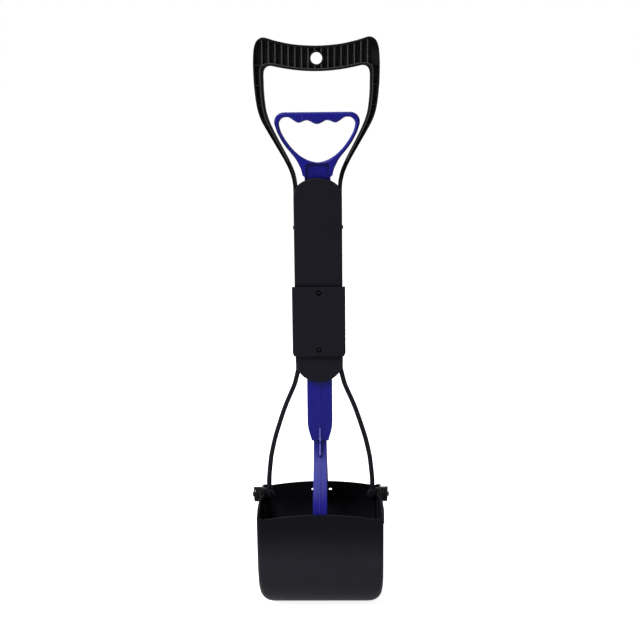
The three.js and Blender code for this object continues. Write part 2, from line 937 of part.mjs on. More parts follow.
piece(shaft, 'lower_right_leg', lowerLeg(1), black);

// Pull handle and lower stem

function handleSolid() {
  const shoulder = handleReach - handleHeight;
  // Both outlines keep clear of the grip's legs
  const place = ([across, drop], margin) => {
    const z = handleReach - drop * handleHeight;
    return [Math.min(across * handleHalf, legInnerAt(z) - margin), z];
  };
  const outer = handleOuterShares.map((share) => place(share, handleClearance));
  const inner = handleInnerShares.map((share) => place(share, handleClearance + handleArm));
  const right = [
    ...outer,
    [stemHalf + stemWall, shoulder],
    [stemHalf, shoulder - stemWall],
    [stemHalf, -lapLow],
  ];
  const outline = [...right, ...mirrored(right)];
  const opening = [...inner, ...mirrored(inner).slice(1, -1)];
  const body = frontPlate(outline, -stemThicknessHalf, stemThicknessHalf, handleBevel);
  const openingSolid = frontPlate(
    opening,
    -stemThicknessHalf - overrun,
    stemThicknessHalf + overrun,
  );
  const pocketHalf = stemHalf - stemSide;
  const pockets = [-1, 1].map((side) => box(
    -pocketHalf,
    pocketHalf,
    side < 0 ? -stemThicknessHalf - overrun : stemWeb / 2,
    side < 0 ? -stemWeb / 2 : stemThicknessHalf + overrun,
    pocketFoot,
    handleReach - pocketTopDrop,
  ));
  const slot = box(
    -bossSlotHalf,
    bossSlotHalf,
    -stemThicknessHalf - overrun,
    stemThicknessHalf + overrun,
    sleeveScrewHeight - pullStroke - bossSlotHalf,
    sleeveScrewHeight + bossSlotHalf,
  );
  const lap = box(
    -stemHalf - overrun,
    stemHalf + overrun,
    -gap / 2,
    stemThicknessHalf + overrun,
    -lapLow - overrun,
    -lapHigh,
  );
  const rivetHole = roundY(
    rivetRadius + gap,
    -stemThicknessHalf - overrun,
    stemThicknessHalf + overrun,
    0,
    -(lapLow + lapHigh) / 2,
    smallSides,
  );
  const rivetSeat = roundY(
    rivetHead + gap,
    -stemThicknessHalf - overrun,
    -stemThicknessHalf + rivetHeadHeight + gap,
    0,
    -(lapLow + lapHigh) / 2,
  );
  return cut(body, [openingSolid, ...pockets, slot, lap, rivetHole, rivetSeat]);
}
piece(puller, 'pull_handle', handleSolid(), blue);

function lowerStemSolid() {
  const right = [
    [stemHalf, -lapHigh - gap],
    [stemHalf, -stemTaperDrop],
    ...stemTaperShares.map(([down, inwards]) => [
      mix(stemHalf, stemFootHalf, inwards),
      -mix(stemTaperDrop, stemFootDrop, down),
    ]),
  ];
  const body = frontPlate(
    [...right, ...mirrored(right)],
    -stemThicknessHalf,
    stemThicknessHalf,
    coverBevel,
  );
  const lap = box(
    -stemHalf - overrun,
    stemHalf + overrun,
    -stemThicknessHalf - overrun,
    gap / 2,
    -lapLow - gap,
    -lapHigh + overrun,
  );
  const slot = box(
    -bossSlotHalf,
    bossSlotHalf,
    -stemThicknessHalf - overrun,
    stemThicknessHalf + overrun,
    -sleeveScrewHeight - pullStroke - bossSlotHalf,
    -sleeveScrewHeight + bossSlotHalf,
  );
  const rearPocket = box(
    -stemHalf + stemWall,
    stemHalf - stemWall,
    stemThicknessHalf - rearPocketDepth,
    stemThicknessHalf + overrun,
    -rearPocketLow,
    -rearPocketHigh,
  );
  // The rear link's cheeks turn in the fork, and the front link's fin in the slit before it
  const forkHalf = linkRibHalf + linkCheek + gap * 2;
  const fork = box(
    -forkHalf,
    forkHalf,
    -stemThicknessHalf + forkFrontWall,
    stemThicknessHalf - forkRearWall,
    -stemFootDrop - overrun,
    -stemPinDrop + linkEye + gap,
  );
  const slitHalf = linkRibHalf + gap;
  const slit = box(
    -slitHalf,
    slitHalf,
    -stemThicknessHalf - overrun,
    stemThicknessHalf - forkRearWall,
    -stemFootDrop - overrun,
    -stemPinDrop + finRise + gap,
  );
  const pinHole = roundX(
    linkPinRadius + gap,
    -stemHalf - overrun,
    stemHalf + overrun,
    0,
    -stemPinDrop,
  );
  const rivetHole = roundY(
    rivetRadius + gap,
    -overrun,
    stemThicknessHalf + overrun,
    0,
    -(lapLow + lapHigh) / 2,
    smallSides,
  );
  const rivetSeat = roundY(
    rivetHead + gap,
    stemThicknessHalf - rivetHeadHeight - gap,
    stemThicknessHalf + overrun,
    0,
    -(lapLow + lapHigh) / 2,
  );
  return cut(body, [
    lap, slot, rearPocket, fork, slit, pinHole, rivetHole, rivetSeat,
  ]);
}
piece(puller, 'lower_stem', lowerStemSolid(), blue);

const rivetHeight = -(lapLow + lapHigh) / 2;
piece(
  puller,
  'stem_joint_pin',
  union([
    roundY(rivetRadius, -stemThicknessHalf, stemThicknessHalf, 0, rivetHeight, smallSides),
    roundY(
      rivetHead,
      -stemThicknessHalf,
      -stemThicknessHalf + rivetHeadHeight,
      0,
      rivetHeight,
      smallSides,
    ),
    roundY(
      rivetHead,
      stemThicknessHalf - rivetHeadHeight,
      stemThicknessHalf,
      0,
      rivetHeight,
      smallSides,
    ),
  ]),
  steel,
);
piece(
  puller,
  'link_pin',
  roundX(linkPinRadius, -linkPinHalf, linkPinHalf, 0, -stemPinDrop),
  steel,
);

// Links, drawn from the link pin

const lugFall = pivotDrop - stemPinDrop + lugDrop;

// The plate's middle line, from below the stem to the barrel; side -1 is the front link
function linkPath(side) {
  const start = new THREE.Vector2(linkTopOffset, -linkTop);
  const end = new THREE.Vector2(lugReach, -lugFall);
  const bend = linkBendShares.map(([reach, fall]) => new THREE.Vector2(
    mix(start.x, end.x, reach),
    mix(start.y, end.y, fall),
  ));
  const curve = new THREE.CubicBezierCurve(start, bend[0], bend[1], end);
  return curve.getPoints(linkSteps).map((point) => [side * point.x, point.y]);
}

function linkSolid(side) {
  const path = linkPath(side);
  const half = linkThickness / 2;
  const inner = offsetPath(path, -side * half);
  const outer = offsetPath(path, side * half);
  const ribbed = path.filter(([, z]) => z > -linkRibFoot);
  const ribEnd = path[ribbed.length];
  const ribInner = [...ribbed, ribEnd];
  const ribOuter = offsetPath(ribInner, side * (half + linkRibHeight)).slice(0, -1);
  const width = [
    [linkTopHalf, 0],
    [linkTopHalf, -linkTop],
    [linkHalf, -linkFull],
    [linkHalf, -lugFall - overrun],
  ];
  const plate = sidePlate([...inner, ...[...outer].reverse()], -linkHalf, linkHalf)
    .intersect(frontPlate([...width, ...mirrored(width)], -jawDepth, jawDepth));
  const rib = sidePlate([...ribInner, ...[...ribOuter].reverse()], -linkRibHalf, linkRibHalf);
  const barrel = roundX(
    linkBarrel,
    -linkBarrelHalf,
    linkBarrelHalf,
    side * lugReach,
    -lugFall,
  );
  const barrelBore = roundX(
    lugPinRadius + gap,
    -linkHalf - overrun,
    linkHalf + overrun,
    side * lugReach,
    -lugFall,
  );
  // The plate stops above the lugs, which stand on both sides of the barrel
  const lugRoom = [-1, 1].map((across) => box(
    across < 0 ? -linkHalf - overrun : linkBarrelHalf,
    across < 0 ? -linkBarrelHalf : linkHalf + overrun,
    -jawDepth,
    jawDepth,
    -lugFall - overrun,
    -lugFall + lugRoomHeight,
  ));
  // Straps from the plate up to the link pin: a fin in front, two cheeks at the rear
  const straps = side < 0
    ? [[-linkRibHalf, linkRibHalf]]
    : [
      [-linkRibHalf - gap - linkCheek, -linkRibHalf - gap],
      [linkRibHalf + gap, linkRibHalf + gap + linkCheek],
    ];
  const strapFoot = -linkTop - linkThickness;
  const face = linkTopOffset + half + linkRibHeight;
  const strap = side < 0
    ? [
      [-finReach, finRise - finCorner],
      [-face, strapFoot],
      [-linkTopOffset + half, strapFoot],
      [linkEye, 0],
      [0, finRise],
      [-finReach + finCorner, finRise],
    ]
    : [
      [-linkEye, 0],
      [linkTopOffset - half, strapFoot],
      [linkTopOffset + half, strapFoot],
      [linkEye, 0],
    ];
  const eyeSolids = straps.flatMap(([x0, x1]) => [
    roundX(linkEye, x0, x1, 0, 0, eyeSides),
    sidePlate(strap, x0, x1),
  ]);
  const bore = roundX(linkPinRadius + gap, -linkHalf, linkHalf, 0, 0);
  return cut(
    union([cut(union([plate, rib]), lugRoom), barrel, ...eyeSolids]),
    [barrelBore, bore],
  );
}

const lugPinHalf = linkBarrelHalf + gap + lugWall;
for (const [name, side] of [['front', -1], ['rear', 1]]) {
  piece(links, `${name}_link`, linkSolid(side), blue);
  piece(
    links,
    `${name}_link_pin`,
    roundX(lugPinRadius, -lugPinHalf, lugPinHalf, side * lugReach, -lugFall),
    steel,
  );
}

// Jaws, drawn from the pivots

// Outer face of a side wall: straight beside the coil, then spreading to the rim's corner
const earReach = coilRadius + springWire / 2 + earClearance;
function wallFace(earOuter, reach) {
  if (reach < wallShoulder) {
    const share = Math.max(reach - earReach, 0) / (wallShoulder - earReach);
    return mix(earOuter, jawHalf - shoulderInset, share);
  }
  return mix(jawHalf - shoulderInset, jawHalf, (reach - wallShoulder) / (jawDepth - wallShoulder));
}

// side -1 is the front jaw, 1 the rear jaw
function jawSolid(side) {
  const earOuter = side < 0 ? earOuterFront : earOuterRear;
  const ground = -pivotHeight;
  const profile = jawProfileShares.map(([reach, height]) => [
    reach * jawDepth,
    ground + height * rimHeight,
  ]);
  const widths = jawWidthShares.map(([across, height]) => [
    across * jawHalf,
    ground + height * rimHeight,
  ]);
  const sideTop = [
    [sideRiseReach, sideRise],
    [jawSplit, sideRise],
  ];
  const outerProfile = [...profile, [jawSplit, ground], ...[...sideTop].reverse()];
  const innerPath = offsetPath(profile, -jawWall);
  const innerProfile = [
    [innerPath[0][0], sideRise + earRadius + overrun],
    ...innerPath,
    [-overrun, ground + jawWall],
    [-overrun, sideRise + earRadius + overrun],
  ];
  const turn = (points) => points.map(([reach, z]) => [side * reach, z]);
  const innerWidths = offsetPath(widths, -jawWall);
  const ring = (right, top) => [
    ...mirrored([[right[0][0], top], ...right]),
    [right[0][0], top],
    ...right,
  ];
  const headroom = sideRise + earRadius + overrun;
  const outerA = sidePlate(turn(outerProfile), -jawHalf - overrun, jawHalf + overrun);
  const outerB = frontPlate(ring(widths, headroom), -jawDepth - overrun, jawDepth + overrun);
  const plan = (inset) => {
    const half = wallFace(earOuter, jawDepth + overrun) - inset;
    const ear = earOuter - inset;
    const reach = jawDepth + overrun;
    const shoulder = jawHalf - shoulderInset - inset;
    return turnPlan([
      [-half, reach],
      [-shoulder, wallShoulder],
      [-ear, earReach],
      [-ear, -overrun],
      [ear, -overrun],
      [ear, earReach],
      [shoulder, wallShoulder],
      [half, reach],
    ]);
  };
  const turnPlan = (points) => points.map(([x, reach]) => [x, side * reach]);
  const outerC = planBar(plan(0), ground - overrun, headroom);
  const innerA = sidePlate(turn(innerProfile), -jawHalf, jawHalf);
  const innerB = frontPlate(
    ring(innerWidths, headroom + overrun),
    -jawDepth - overrun,
    jawDepth + overrun,
  );
  const innerC = planBar(plan(jawWall), ground, headroom + overrun);
  const shell = outerA.intersect(outerB).intersect(outerC);
  const hollow = innerA.intersect(innerB).intersect(innerC);

  // The rim rises in an arch between its corners
  const archHalf = jawHalf - jawWall - cornerWidth;
  const curve = [];
  for (let k = 0; k <= roundSides; k += 1) {
    const across = 1 - (2 * k) / roundSides;
    const rise = (rimArch + rimDip) * (1 - across * across) - rimDip;
    curve.push([archHalf * across, -rimDrop + rise]);
  }
  const rimFoot = -rimDrop - jawWall * 2;
  const rimLow = side < 0 ? -jawDepth : jawDepth - jawWall;
  const rim = frontPlate(
    [[-archHalf, rimFoot], [archHalf, rimFoot], ...curve],
    rimLow,
    rimLow + jawWall,
  );
  const aboveRim = frontPlate(
    [[-archHalf, headroom], ...[...curve].reverse(), [archHalf, headroom]],
    side < 0 ? -jawDepth - overrun : jawDepth - jawWall - gap,
    side < 0 ? -jawDepth + jawWall + gap : jawDepth + overrun,
  );

  // Ears round the pivots
  const ears = [-1, 1].map((across) => roundX(
    earRadius,
    across < 0 ? -earOuter : earOuter - earWall,
    across < 0 ? -earOuter + earWall : earOuter,
    0,
    0,
    eyeSides,
  ));

  // Lugs for the link's cross pin, each with a slot that runs inwards
  const lugSolids = [];
  const slots = [];
  const slotRadius = lugPinRadius + gap;
  for (const across of [-1, 1]) {
    const near = linkBarrelHalf + gap;
    const x0 = across < 0 ? -near - lugWall : near;
    const x1 = across < 0 ? -near : near + lugWall;
    const tip = lugReach - lugSlotRun - slotRadius - lugMargin;
    lugSolids.push(box(
      x0,
      x1,
      side < 0 ? -jawDepth + jawWall / 2 : tip,
      side < 0 ? -tip : jawDepth - jawWall / 2,
      -lugDrop - slotRadius - lugMargin,
      -lugDrop + slotRadius + lugMargin,
    ));
    const ends = [[lugReach, -lugDrop], [lugReach - lugSlotRun, -lugDrop + lugSlotRise]];
    const far = across < 0 ? -near - lugWall - overrun : near - gap;
    const close = across < 0 ? -near + gap : near + lugWall + overrun;
    slots.push(...ends.map(([reach, z]) => roundX(slotRadius, far, close, side * reach, z)));
    const [start, end] = ends;
    slots.push(sidePlate(turn([
      [start[0], start[1] - slotRadius],
      [start[0], start[1] + slotRadius],
      [end[0], end[1] + slotRadius],
      [end[0], end[1] - slotRadius],
    ]), far, close));
  }

  // Ledges that the spring's legs press on
  const ledges = [-1, 1].map((across) => {
    const face = wallFace(earOuter, ledgeReach);
    const x = face + ledgeProud;
    const x0 = across < 0 ? -x : face - jawWall / 2;
    const x1 = across < 0 ? -face + jawWall / 2 : x;
    const nearY = side * (ledgeReach - ledgeLength / 2);
    const farY = side * (ledgeReach + ledgeLength / 2);
    return box(
      x0,
      x1,
      Math.min(nearY, farY),
      Math.max(nearY, farY),
      -ledgeDrop - ledgeHeight,
      -ledgeDrop,
    );
  });

  const bore = roundX(pivotRadius + gap, -jawHalf - overrun, jawHalf + overrun, 0, 0);
  const windows = side < 0 ? [] : [-1, 1].map((across) => box(
    across * windowPlace - windowWidth / 2,
    across * windowPlace + windowWidth / 2,
    jawDepth - jawWall - overrun,
    jawDepth + overrun,
    -windowDrop - windowHeight / 2,
    -windowDrop + windowHeight / 2,
  ));
  const whole = union([
    cut(shell, [hollow, aboveRim]), rim, ...ears, ...lugSolids, ...ledges,
  ]);
  return cut(whole, [bore, ...slots, ...windows]);
}
piece(bucket, 'front_jaw', jawSolid(-1), black);
piece(bucket, 'rear_jaw', jawSolid(1), black);

// Pivot pins, retainers and springs

const bracketInner = lowerLegSpread - bracketThickness;
function pivotPin(side) {
  const inner = bracketInner - gap - retainerThickness - pinInnerReach;
  const shank = [side * inner, side * pinEnd].sort((a, b) => a - b);
  const cap = [side * (pinEnd - pinCapHeight), side * pinEnd].sort((a, b) => a - b);
  return union([
    roundX(pivotRadius, shank[0], shank[1], 0, 0),
    roundX(pinCap, cap[0], cap[1], 0, 0),
  ]);
}

function retainer(side) {
  const outer = side * (bracketInner - gap);
  const inner = side * (bracketInner - gap - retainerThickness);
  const [low, high] = [inner, outer].sort((a, b) => a - b);
  return cut(roundX(retainerRadius, low, high, 0, 0), [
    roundX(pivotRadius + gap, low - overrun, high + overrun, 0, 0),
  ]);
}

// One wire from the front jaw's ledge, round the coil over the top, to the rear jaw's ledge
function springPath(side) {
  const wire = springWire / 2;
  const legDrop = ledgeDrop - wire - gap;
  const reach = Math.hypot(ledgeReach, legDrop);
  const lean = Math.atan2(legDrop, ledgeReach);
  const tangent = Math.PI - (Math.acos(coilRadius / reach) - lean);
  const sweep = Math.PI - 2 * (Math.PI - tangent) + springCurls * 2 * Math.PI;
  const near = earOuterFront + wire + coilClearance;
  const frontFace = wallFace(earOuterFront, ledgeReach);
  const rearFace = wallFace(earOuterRear, ledgeReach);
  const points = [];
  const coil = Math.round((sweep / (2 * Math.PI)) * curlSteps);
  const frontTip = [frontFace + wire + gap, -ledgeReach, -legDrop];
  const rearTip = [rearFace + wire + gap, ledgeReach, -legDrop];
  const bendShare = (wallShoulder + wire) / ledgeReach;
  const at = (share) => {
    const angle = tangent - sweep * share;
    return [
      near + springLength * share,
      coilRadius * Math.cos(angle),
      coilRadius * Math.sin(angle),
    ];
  };
  const first = at(0);
  const last = at(1);
  // Each leg clears the wall's shoulder, then follows the wall to its ledge
  const bendOf = (tip, start) => [
    tip[0],
    mix(start[1], tip[1], bendShare),
    mix(start[2], tip[2], bendShare),
  ];
  const frontBend = bendOf(frontTip, first);
  const rearBend = bendOf(rearTip, last);
  points.push(frontTip, frontBend);
  for (let k = 1; k < legSteps; k += 1) {
    points.push(frontBend.map((value, i) => mix(value, first[i], k / legSteps)));
  }
  for (let k = 0; k <= coil; k += 1) {
    points.push(at(k / coil));
  }
  for (let k = 1; k < legSteps; k += 1) {
    points.push(rearBend.map((value, i) => mix(last[i], value, k / legSteps)));
  }
  points.push(rearBend, rearTip);
  return points.map(([x, y, z]) => new THREE.Vector3(side * x, y, z));
}

class WirePath extends THREE.Curve {
  constructor(points) {
    super();
    this.points = points;
  }

  getPoint(t, target = new THREE.Vector3()) {
    const last = this.points.length - 1;
    const place = Math.min(Math.max(t, 0), 1) * last;
    const k = Math.min(Math.floor(place), last - 1);
    return target.lerpVectors(this.points[k], this.points[k + 1], place - k);
  }

  getPointAt(t, target) {
    return this.getPoint(t, target);
  }

  getTangent(t, target = new THREE.Vector3()) {
    const last = this.points.length - 1;
    const k = Math.round(Math.min(Math.max(t, 0), 1) * last);
    const before = this.points[Math.max(k - 1, 0)];
    const after = this.points[Math.min(k + 1, last)];
    return target.subVectors(after, before).normalize();
  }

  getTangentAt(t, target) {
    return this.getTangent(t, target);
  }
}

function springSolid(side) {
  const points = springPath(side);
  const ringPoints = [];
  for (let k = 0; k < wireSides; k += 1) {
    const angle = (2 * Math.PI * k) / wireSides;
    ringPoints.push([(springWire / 2) * Math.cos(angle), (springWire / 2) * Math.sin(angle)]);
  }
  const geometry = new THREE.ExtrudeGeometry(shapeOf(ringPoints), {
    steps: points.length - 1,
    bevelEnabled: false,
    extrudePath: new WirePath(points),
  });
  return toSolid(geometry);
}

// Least distance between runs of the wire that are not neighbours, less the wire
function springGap() {
  const points = springPath(1);
  let least = Infinity;
  for (let i = 0; i < points.length; i += 1) {
    for (let j = i + curlSteps / 2; j < points.length; j += 1) {
      least = Math.min(least, points[i].distanceTo(points[j]));
    }
  }
  return least - springWire;
}
console.log(`spring: least gap between curls ${springGap().toFixed(2)} mm`);

for (const [name, side] of [['left', -1], ['right', 1]]) {
  piece(bucket, `${name}_pivot_pin`, pivotPin(side), steel);
  piece(bucket, `${name}_pin_retainer`, retainer(side), steel);
  piece(bucket, `${name}_spring`, springSolid(side), steel);
}

export default scoop;
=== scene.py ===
"""Dresses the packed scoop: smooth mouldings, ribs, springs, screws, finishes and a plain stage.

The file is laid out as a Blender add-on and is run as a script. Lengths are in metres, in the frame
of the packed model: +Z up along the shaft, +X to the right across the grip, and the front is -Y.
"""

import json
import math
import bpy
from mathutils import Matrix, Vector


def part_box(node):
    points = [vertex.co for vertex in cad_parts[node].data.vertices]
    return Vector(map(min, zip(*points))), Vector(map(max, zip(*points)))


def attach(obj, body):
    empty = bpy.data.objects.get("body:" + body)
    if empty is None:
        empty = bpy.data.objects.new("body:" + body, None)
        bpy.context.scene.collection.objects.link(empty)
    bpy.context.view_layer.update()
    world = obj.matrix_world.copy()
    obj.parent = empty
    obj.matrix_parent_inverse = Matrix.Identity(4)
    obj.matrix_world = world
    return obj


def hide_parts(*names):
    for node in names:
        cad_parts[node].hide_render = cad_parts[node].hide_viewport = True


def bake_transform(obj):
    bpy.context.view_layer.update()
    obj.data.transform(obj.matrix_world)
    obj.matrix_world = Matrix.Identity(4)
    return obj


bl_info = {
    "name": "Long-handled scoop",
    "version": (1, 0, 0),
    "blender": (4, 5, 0),
    "location": "View3D > Sidebar > Scoop",
    "description": "Builds the finished look of a long-handled two-jaw scoop round its CAD frame",
    "category": "Add Mesh",
}

import bmesh
import bpy
from bpy.props import FloatProperty, FloatVectorProperty, IntProperty, PointerProperty
from bpy.types import Operator, Panel, PropertyGroup
from mathutils import Matrix, Vector

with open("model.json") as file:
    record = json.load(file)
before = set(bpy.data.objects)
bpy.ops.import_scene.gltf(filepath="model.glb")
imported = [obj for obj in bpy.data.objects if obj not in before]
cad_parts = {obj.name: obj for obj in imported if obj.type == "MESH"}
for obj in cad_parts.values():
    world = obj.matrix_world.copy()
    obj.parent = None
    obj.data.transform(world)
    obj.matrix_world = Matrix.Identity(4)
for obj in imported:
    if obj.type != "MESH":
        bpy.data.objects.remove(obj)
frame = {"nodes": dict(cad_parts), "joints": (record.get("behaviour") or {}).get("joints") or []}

# Places that the frame gives
JOINTS = {joint["name"]: joint for joint in frame["joints"]}
PIVOT = JOINTS["front_jaw_hinge"]["pos_m"][2]
LINK_PIN = JOINTS["front_link_hinge"]["pos_m"][2]
STROKE = JOINTS["pull_slide"]["range_m"][1]
LOW = {name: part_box(name)[0] for name in frame["nodes"]}
HIGH = {name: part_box(name)[1] for name in frame["nodes"]}
MIDDLE = {name: (LOW[name] + HIGH[name]) / 2 for name in LOW}
SPLICE = (LOW["upper_front_cover"].z + HIGH["lower_front_cover"].z) / 2
GAP = LOW["upper_front_cover"].z - SPLICE
FRAME_HALF = HIGH["upper_frame"].y
STEM_HALF_DEPTH = HIGH["pull_handle"].y
RAIL_SET = 0.0001
RAIL_HALF = HIGH["upper_front_cover"].x - RAIL_SET

FRONT, REAR = -1, 1
LEFT, RIGHT = -1, 1
SIDE_NAMES = {LEFT: "left", RIGHT: "right"}
END_NAMES = {FRONT: "front", REAR: "rear"}
QUARTER = math.pi / 2
SHARP = math.radians(38)

# Roundings that small parts share, overlap of joined solids and reach of cutters
FINE_EDGE = 0.0004
CUT_EDGE = 0.0006
ROOT = 0.001
BORE_REACH = 0.03

# Points round a circle
SIDES, FINE_SIDES, SCREW_SIDES, SLOT_SIDES = 32, 48, 40, 24
# A rounded corner takes at most this share of each side beside it
MOST_OF_SIDE = 0.49
# An inset moves the point of a sharp turn as if the turn's divisor were at least this
LEAST_DIVISOR = 0.2

# Depths of the grain in relief
MOULDED_GRAIN, STEEL_GRAIN, SMOOTH_GRAIN = 0.00003, 0.00002, 0.000005

BLACK = "black_moulding"
GRIP_BLACK = "black_ribbed_moulding"
# Jaws: painted bounce light makes them paler towards the foot
JAW_BLACK = "black_jaw_moulding"
# Grip's rib fronts and lip bead: pale as a painted highlight
HIGHLIGHT_BLACK = "black_rib_fronts"
BLUE = "blue_moulding"
# Links: a slightly lighter copy of the blue with a paler band, painted highlight where they slope up to
# the light
LINK_BLUE = "blue_link_moulding"
# Front link's fin and bead: painted highlight
GLEAM_BLUE = "rubbed_blue_moulding"
# Parting line: painted paler, a painted highlight on its hairline ridge
SEAM_BLUE = "blue_parting_line"
STEEL = "black_steel"
BLACK_SLOT = "black_plastic"
BLUE_SLOT = "blue_plastic"
STEEL_SLOT = "dark_steel"
SLOTS = {
    **dict.fromkeys((BLACK, GRIP_BLACK, JAW_BLACK, HIGHLIGHT_BLACK), BLACK_SLOT),
    **dict.fromkeys((BLUE, LINK_BLUE, GLEAM_BLUE, SEAM_BLUE), BLUE_SLOT),
    STEEL: STEEL_SLOT,
}

# Outlines as shares of the sizes that they belong to

# Bar of the grip: place across, drop of the top edge, drop of the underside
BAR_SHARES = [
    (0, 1, 1), (0.2, 0.94, 0.987), (0.4, 0.78, 0.947), (0.586, 0.495, 0.886), (0.679, 0.317, 0.848),
]
# Corner of the grip: outer place and drop, inner place and drop
CORNER_SHARES = [
    (0.772, 0.025, 0.726, 0.835), (0.839, 0, 0.77, 0.846), (0.903, 0.043, 0.804, 0.886),
    (0.949, 0.132, 0.824, 0.937), (0.98, 0.291, 0.836, 1), (0.993, 0.481, 0.8415, 1.089),
    (1, 0.81, 0.8422, 1.165),
]
# Legs of the grip: height, spread and width
GRIP_LEG_SHARES = [
    (0.712, 0.991, 0.96), (0.644, 0.972, 0.87), (0.576, 0.943, 0.81), (0.508, 0.893, 0.72),
    (0.443, 0.803, 0.62), (0.376, 0.663, 0.44), (0.308, 0.511, 0.3), (0.241, 0.362, 0.22),
    (0.172, 0.212, 0.13), (0.104, 0.092, 0.07), (0.045, 0.028, 0.02), (0, 0.004, 0),
]
# The channel runs out between these heights of a leg
CHANNEL_FOOT_SHARES = (0.045, 0.172)
# Pull handle: right half of the outside from the top down, across and drop
HANDLE_OUTER_SHARES = [
    (0.77, 0), (0.83, 0.0055), (0.885, 0.021), (0.933, 0.0455), (0.97, 0.078), (0.993, 0.117),
    (1, 0.152), (0.992, 0.195), (0.965, 0.253), (0.932, 0.32), (0.887, 0.381), (0.838, 0.444),
    (0.777, 0.509), (0.709, 0.573), (0.631, 0.637), (0.555, 0.701), (0.486, 0.767),
    (0.4375, 0.831), (0.3926, 0.895), (0.365, 0.96), (0.358, 1),
]
# Pull handle: right half of the opening, finger profile first
HANDLE_INNER_SHARES = [
    (0, 0.194), (0.09, 0.177), (0.18, 0.143), (0.244, 0.133), (0.32, 0.147), (0.39, 0.167),
    (0.43, 0.17), (0.48, 0.161), (0.56, 0.126), (0.645, 0.088), (0.723, 0.081), (0.79, 0.09),
    (0.842, 0.117), (0.881, 0.165), (0.877, 0.215), (0.86, 0.265), (0.832, 0.32), (0.785, 0.381),
    (0.728, 0.444), (0.664, 0.505), (0.59, 0.569), (0.496, 0.633), (0.383, 0.697),
    (0.203, 0.763), (0, 0.793),
]
# Lower legs: fall below the covers and spread
LOWER_LEG_SHARES = [
    (0, 0.058), (0.064, 0.126), (0.134, 0.241), (0.198, 0.352), (0.266, 0.46), (0.333, 0.553),
    (0.403, 0.643), (0.467, 0.724), (0.538, 0.802), (0.604, 0.862), (0.672, 0.917),
    (0.743, 0.952), (0.81, 0.98), (0.877, 1), (1, 1),
]
# Stem's foot: share of the taper's fall, share of its way in
STEM_TAPER_SHARES = [(0, 0), (0.2, 0.07), (0.41, 0.22), (0.67, 0.57), (0.92, 0.95), (1, 1)]
# Jaw from the side: reach and height; and from the front: half width and height
JAW_PROFILE_SHARES = [
    (1, 1), (0.998, 0.86), (0.985, 0.7), (0.955, 0.53), (0.9, 0.38), (0.81, 0.25), (0.69, 0.145),
    (0.55, 0.068), (0.4, 0.02), (0.25, 0),
]
JAW_WIDTH_SHARES = [
    (1, 1), (1, 0.6), (1, 0.3), (0.994, 0.22), (0.977, 0.15), (0.938, 0.085), (0.886, 0.035),
    (0.82, 0.008), (0.77, 0),
]
# Screws as shares of the head's radius: the head's profile, its height, the shank and the recess
SCREW_HEAD_SHARES = [(0.4, 0), (0.56, 0.1), (0.74, 0.34), (0.9, 0.62), (1, 1)]
SCREW_HEIGHT, SCREW_SHANK = 0.65, 0.5
RECESS_REACH, RECESS_HALF, RECESS_ROUND, RECESS_DEPTH = 0.5, 0.11, 0.05, 0.55
# Each screw of a group is turned on by this angle, in radians
SCREW_TURN = 0.5
# Links: the middle points of the path from the stem to the lug, reach and fall
LINK_BEND_SHARES = [(0.04, 0.42), (0.9, 0.55)]


def length(description, default):
    """A length that a user can change, in metres."""
    return FloatProperty(
        description=description, default=default, min=0, precision=5, unit="LENGTH"
    )


def amount(description, default):
    """A number from 0 up that a user can change."""
    return FloatProperty(description=description, default=default, min=0)


def count(description, default):
    """A whole number that a user can change."""
    return IntProperty(description=description, default=default, min=1)


def share(description, default):
    """A share from 0 to 1 that a user can change."""
    return FloatProperty(
        description=description, default=default, min=0, max=1, subtype="FACTOR"
    )


def angle(description, default):
    """An angle that a user can change, given in degrees."""
    return FloatProperty(description=description, default=math.radians(default), subtype="ANGLE")


def colour(description, default):
    """A colour that a user can change."""
    return FloatVectorProperty(
        description=description, default=default, min=0, max=1, size=3, subtype="COLOR"
    )


class ScoopShaftSizes(PropertyGroup):
    """Sizes of the covers, the sleeve and the lower legs"""

    cover_thickness: length("Wall of the long covers", 0.0042)
    cover_edge: length("Rounding of the covers' outer edges", 0.0019)
    cover_lip: length("Rounding of their inner edges", 0.0003)
    upper_arc: length("Height of the arc at an upper cover's end", 0.0211)
    lower_arc: length("Height of the arc at a lower cover's end", 0.027)
    guide_place: length("Guide rib from the centre line", 0.0105)
    guide_width: length("Width of a guide rib inside a cover", 0.002)
    guide_end: length("Guide ribs stop this far from a cover's ends", 0.002)
    sleeve_wall: length("Side wall of the sleeve's front half", 0.0027)
    sleeve_face: length("Wall of the sleeve over the covers", 0.004)
    sleeve_corner: length("Rounding of the sleeve's long corners", 0.0022)
    sleeve_edge: length("Rounding of the sleeve's ends", 0.0009)
    cheek_round: length("Rounding of the sleeve's cheeks", 0.00135)
    sleeve_cut: length("Width of the cut corners at the sleeve's foot", 0.0021)
    sleeve_cut_height: length("Height of those corners", 0.0044)
    counterbore: length("Radius of a screw's counterbore", 0.0035)
    counterbore_depth: length("Depth of a screw's counterbore", 0.0029)
    boss: length("Radius of a screw boss of the sleeve", 0.0045)
    leg_width: length("Width of a lower leg", 0.006)
    leg_depth: length("Half depth of a lower leg", 0.004)
    leg_drop: length("Splice down to where the lower legs leave", 0.073)
    leg_edge: length("Rounding of the lower legs", 0.0014)
    leg_tuck: length("Leg's inner edge meets the rail this far up", 0.0094)
    rail_inner: length("Inner face of a rail from the centre line", 0.0167)
    bracket: length("Radius of a pivot bracket", 0.0076)
    bracket_wall: length("Thickness of a pivot bracket", 0.006)
    bracket_corner: length("Rounding of its upper corners", 0.0016)
    bracket_edge: length("Rounding of its edges", 0.0007)


